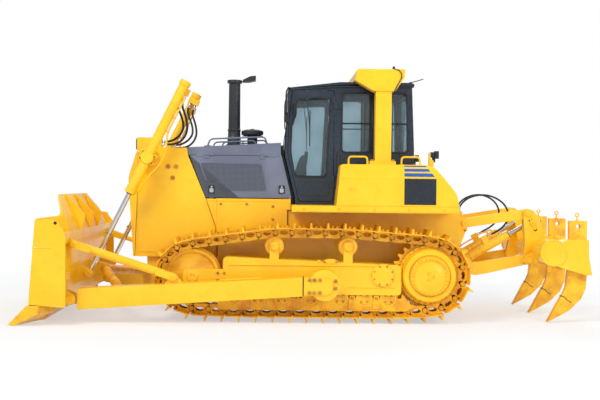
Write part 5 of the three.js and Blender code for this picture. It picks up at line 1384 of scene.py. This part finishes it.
def make_track_frame_trim(side_name, side):
    """The roller guard with its bolted feet, the pivot cap, the ledges and an oval cover."""
    guard = [(1.20, 0.145), (1.20, 0.30)]
    for x in ROLLER_XS:
        guard += [(x + 0.10 * math.cos(t), ROLLER_Z - 0.003 - 0.10 * math.sin(t) * 0.98)
                  for t in (math.pi * i / 10 for i in range(11))]
    guard += [(-1.165, 0.315), (-1.18, 0.37), (-1.29, 0.235), (-1.34, 0.225), (-1.34, 0.19), (-1.22, 0.145)]
    Form(side).plate(guard, 1.14, 1.156).done(f"roller_guard_{side_name}", "cast", "tractor", bevel=0.004)
    feet, heads = Form(side), []
    for a, b in zip(ROLLER_XS, ROLLER_XS[1:]):
        x = (a + b) / 2
        feet.plate([(x - 0.055, 0.17), (x - 0.032, 0.345), (x + 0.032, 0.345), (x + 0.055, 0.17)], 1.145,
                   1.166)
        heads.append(((x, 1.166, 0.315), LEFT, UP))
    feet.done(f"roller_guard_feet_{side_name}", "cast", "tractor", bevel=0.005)
    bolts(f"roller_guard_bolts_{side_name}", mirrored(heads, side), 0.028, "bolt", "tractor")
    cap = Form(side).turned((-0.93, 1.16, 0.61), [
        (0, 0), (0, 0.15), (0.012, 0.15), (0.016, 0.146), (0.016, 0.10), (0.02, 0.096), (0.02, 0)], LEFT,
        48)
    cap.done(f"pivot_cap_{side_name}", "yellow", "tractor")
    bolts(f"pivot_cap_bolts_{side_name}", mirrored([
        (p + LEFT * 0.016, w, v) for p, w, v in circle((-0.93, 1.16, 0.61), 0.123, 8, LEFT, 0.39)], side),
        0.026, "bolt", "tractor")
    ledges = Form(side)
    ledges.swept([(1.05, FRAME_FACE, 0.728), (-0.80, FRAME_FACE, 0.728)], 0.012, 8)
    ledges.swept([(-0.47, FRAME_FACE, 0.452), (-1.08, FRAME_FACE, 0.452)], 0.009, 8)
    ledges.plate(oval(-0.25, 0.782, 0.095, 0.034), FRAME_FACE - 0.002, FRAME_FACE + 0.006)
    ledges.plate(rounded_loop(rect(-0.08, 0.77, -0.12, 0.80), 0.006), FRAME_FACE - 0.002,
                 FRAME_FACE + 0.004)
    ledges.done(f"track_frame_ledges_{side_name}", "yellow", "tractor", bevel=0.002)
    heads = [((x, FRAME_FACE + 0.006, 0.782), LEFT, UP) for x in (-0.17, -0.33)]
    heads += [((x, FRAME_FACE + 0.001, z), LEFT, UP) for x in (1.115, 1.20) for z in (0.53, 0.62)]
    bolts(f"track_frame_bolts_{side_name}", mirrored(heads, side), 0.026, "bolt", "tractor")


for side_name, side in SIDES.items():
    make_lift_cylinder(side_name, side)
    make_arm(side_name, side)
    make_track_frame_trim(side_name, side)
make_blade_trim()


# ---------- ripper ----------

SHANK_LANES = (0.95, 0.0, -0.95)


def make_ripper_side(side_name, side):
    """Turned cylinder skins with their gland, port pipes, and the heads and keepers of the link pins."""
    at, way = line_frame((-2.10, 0.745), (-3.014, 1.277), 0.33)
    form = Form(side).turned(at(0), [
        (0.05, 0.034), (0.05, 0.0555), (0.60, 0.0555), (0.606, 0.0605), (0.716, 0.0605), (0.722, 0.054),
        (0.726, 0.036), (0.726, 0.034)], way, 36)
    for along in (0.12, 0.30):
        form.turned(at(along), sleeve(0.05, 0.0595, 0.018), way, 36)
    form.done(f"ripper_barrel_skin_{side_name}", "yellow", "ripper_barrels")
    Form(side).turned(at(0.70), sleeve(0.025, 0.0315, 0.31), way, 36).done(
        f"ripper_rod_surface_{side_name}", "chrome", "ripper_rods")
    Form(side).turned(at(0.722), [(0, 0.032), (0, 0.044), (0.012, 0.041), (0.012, 0.032)], way, 32).done(
        f"ripper_wiper_{side_name}", "rubber", "ripper_barrels")
    rise = (UP - way * way.z).normalized()
    pipe = Form(side)
    for out, reach in ((-0.016, 0.66), (0.02, 0.60)):
        pipe.swept(bent([at(0.44, 0, out) + rise * 0.11, at(0.50, 0, out) + rise * 0.11,
                         at(reach, 0, out) + rise * 0.085, at(reach, 0, out) + rise * 0.045], 0.03), 0.0105)
    pipe.swept(bent([at(0.38, 0, 0.0) + rise * 0.10, at(0.20, 0, 0.0) + rise * 0.10,
                     at(0.10, 0, 0.0) + rise * 0.085, at(0.10, 0, 0.0) + rise * 0.045], 0.03), 0.0105)
    pipe.turned(at(0.16) + rise * 0.10, disc(0.02, 0.03), way, 16)
    pipe.done(f"ripper_feed_pipes_{side_name}", "yellow", "ripper_barrels", angle=50)
    for name, body, spots in (
        ("ripper_front_pins", "tractor", [((-2.082, 0.522, 1.268), (-0.25, 0, -0.97), 0.036),
                                          ((-2.075, 0.64, 0.659), (0.2, 0, 1), 0.044)]),
        ("ripper_rear_pins", "ripper_frame", [((-2.945, 0.522, 1.406), (-0.35, 0, -0.94), 0.036),
                                              ((-2.938, 0.64, 0.797), (1, 0, -0.15), 0.044),
                                              ((-3.014, 0.522, 1.277), (-0.4, 0, -0.92), 0.036)]),
    ):
        pins = Form(side)
        for centre, turn, radius in spots:
            lock_plate(pins, centre, turn)
            pin_head(pins, Vector(centre) + LEFT * 0.004, radius, 0.026)
        pins.done(f"{name}_{side_name}", "yellow", body)
    end = Form(side).turned((-3.138, 1.098, 0.919), [
        (0, 0), (0, 0.172), (0.008, 0.175), (0.016, 0.172), (0.018, 0.158), (0.012, 0.152), (0.012, 0)],
        LEFT, 48)
    end.done(f"ripper_beam_end_{side_name}", "yellow", "ripper_frame")


def make_shank_trim(lane, y):
    """A shank's lifting eye, the pins of its pocket, protector and tooth, and the tooth with its seam."""
    form = Form()
    form.swept([(-3.48, y, 1.325), (-3.48, y, 1.39)], 0.011, 10)
    form.turned((-3.48, y, 1.33), disc(0.024, 0.012), UP, 24)
    ring = [(-3.48 + 0.022 * math.sin(t), y, 1.408 + 0.022 * math.cos(t)) for t in
            (math.pi + 2 * math.pi * i / 20 for i in range(21))]
    form.swept(ring, 0.0085, 8)
    for out in (1, -1):
        form.turned((-3.47, y + out * 0.083, 1.065),
                    [(0, 0), (0, 0.043), (0.006, 0.043), (0.01, 0.038), (0.01, 0.02), (0.022, 0.018),
                     (0.022, 0)], LEFT * out, 32)
        for x, z, off, radius, proud in ((-3.375, 0.60, 0.037, 0.02, 0.006),
                                         (-3.325, 0.285, 0.044, 0.02, 0.008),
                                         (-3.40, 0.335, 0.037, 0.016, 0.006)):
            form.turned((x, y + out * off, z), [(0, 0), (0, radius), (proud, radius - 0.003), (proud, 0)],
                        LEFT * out, 16)
    form.done(f"shank_fittings_{lane}", "yellow", "ripper_frame", angle=45)
    tooth = [(-3.445, 0.225), (-3.371, 0.160), (-3.092, 0.005), (-3.243, 0.292), (-3.272, 0.345),
             (-3.315, 0.325), (-3.35, 0.285), (-3.40, 0.262)]
    Form().plate(tooth, y - 0.048, y + 0.048).done(f"ripper_tooth_{lane}", "cast", "ripper_frame",
                                                   bevel=0.008, segments=3)
    seam = [(-3.268, 0.352), (-3.318, 0.332), (-3.354, 0.291), (-3.405, 0.268), (-3.41, 0.274),
            (-3.357, 0.299), (-3.322, 0.34), (-3.272, 0.36)]
    Form().plate(seam, y - 0.041, y + 0.041).done(f"ripper_tooth_seam_{lane}", "rubber", "ripper_frame")


for side_name, side in SIDES.items():
    make_ripper_side(side_name, side)
for lane, y in zip(("left", "centre", "right"), SHANK_LANES):
    make_shank_trim(lane, y)


# ---------- finishes of the CAD pieces that show ----------

def finish_all_nodes():
    """Gives each CAD node that is not replaced its finish."""
    pairs = lambda *names: [f"{name}_{side}" for name in names for side in SIDES]
    finish_nodes("yellow", "main_hull", "radiator_guard", "platform_deck", "fuel_tank", "rops_frame",
                 "radiator_mask", "blade", "blade_brace", "tilt_cylinder", "ripper_lower_link",
                 "ripper_beam", *pairs("track_frame", "fender", "push_arm", "ripper_upper_link",
                        "lift_cylinder", "ripper_cylinder"))
    finish_nodes("slate", "engine_hood", *pairs("engine_cover"))
    finish_nodes("cab", *pairs("cab_door"))
    finish_nodes("glass", "windshield", "rear_window", *pairs("door_glass", "side_window"))
    finish_nodes("black", "exhaust_stack", "air_precleaner", "engine_block")
    finish_nodes("plastic", "control_console")
    finish_nodes("vinyl", "operator_seat")
    finish_nodes("cast", "stabiliser_link", "cutting_edge", *pairs("track", "idler", "sprocket"),
                 *[f"ripper_shank_{lane}" for lane in ("left", "centre", "right")])
    finish_nodes("chrome", *pairs("lift_rod", "ripper_rod"))


finish_all_nodes()


# ---------- floor, light and view ----------

def floor_material():
    """White to the camera and in reflections and glass, a softer grey for the light that it throws back."""
    near, beyond = 3.5, 9.0  # metres from the machine's middle, between which the shadow fades out
    material = bpy.data.materials.new("pale_floor")
    material.use_nodes = True
    tree = material.node_tree
    tree.nodes.clear()
    rays = add(tree, "ShaderNodeLightPath").outputs
    seen = add(tree, "ShaderNodeMath", {0: rays["Is Glossy Ray"], 1: rays["Is Transmission Ray"]},
               operation="MAXIMUM").outputs[0]
    place = add(tree, "ShaderNodeTexCoord").outputs["Object"]
    away = add(tree, "ShaderNodeVectorMath", {0: place}, operation="LENGTH").outputs["Value"]
    far = product(tree, between(tree, away, near, beyond, 0.5, 1.0), rays["Is Camera Ray"])
    plain = add(tree, "ShaderNodeMath", {0: seen, 1: far}, operation="MAXIMUM").outputs[0]
    lit = add(tree, "ShaderNodeBsdfDiffuse", {"Color": linear("#F2F2F0")})
    flat = add(tree, "ShaderNodeEmission", {"Color": linear("#FFFFFF"), "Strength": 1.0})
    mixed = add(tree, "ShaderNodeMixShader", {0: plain, 1: lit.outputs[0], 2: flat.outputs[0]})
    output = add(tree, "ShaderNodeOutputMaterial")
    tree.links.new(mixed.outputs[0], output.inputs[0])
    return material


def make_floor():
    """A wide pale floor that keeps the machine's shadow."""
    data = bpy.data.meshes.new("floor")
    reach = 60.0
    data.from_pydata([(-reach, -reach, 0), (reach, -reach, 0), (reach, reach, 0), (-reach, reach, 0)],
                     [], [(0, 1, 2, 3)])
    data.materials.append(floor_material())
    floor = bpy.data.objects.new("floor", data)
    bpy.context.scene.collection.objects.link(floor)


def make_world():
    """Even pale light from all round, and plain white behind the machine."""
    world = bpy.data.worlds.new("studio")
    bpy.context.scene.world = world
    world.use_nodes = True
    tree = world.node_tree
    tree.nodes.clear()
    rays = add(tree, "ShaderNodeLightPath").outputs
    shown = add(tree, "ShaderNodeMath", {0: rays["Is Camera Ray"], 1: rays["Is Transmission Ray"]},
                operation="MAXIMUM").outputs[0]
    sky = add(tree, "ShaderNodeBackground", {"Color": linear("#E8EEF6"), "Strength": 0.70})
    white = add(tree, "ShaderNodeBackground", {"Color": (1, 1, 1, 1), "Strength": 1.0})
    mixed = add(tree, "ShaderNodeMixShader", {0: shown, 1: sky.outputs[0], 2: white.outputs[0]})
    output = add(tree, "ShaderNodeOutputWorld")
    tree.links.new(mixed.outputs[0], output.inputs[0])


LAMPS_AIM = Vector((0, 0, 1.4))


def make_lamp(name, place, size, power):
    """A round soft lamp that is aimed at the machine."""
    data = bpy.data.lights.new(name, "AREA")
    data.shape = "DISK"
    data.size = size
    data.energy = power
    light = bpy.data.objects.new(name, data)
    light.location = place
    light.rotation_euler = (LAMPS_AIM - Vector(place)).to_track_quat("-Z", "Y").to_euler()
    bpy.context.scene.collection.objects.link(light)


make_floor()
make_world()
make_lamp("key", (7, 10, 12), 6, 1130)
make_lamp("fill", (-9, 9, 6), 8, 560)
make_lamp("back", (-4, -11, 9), 8, 600)
bpy.context.scene.view_settings.view_transform = "Standard"
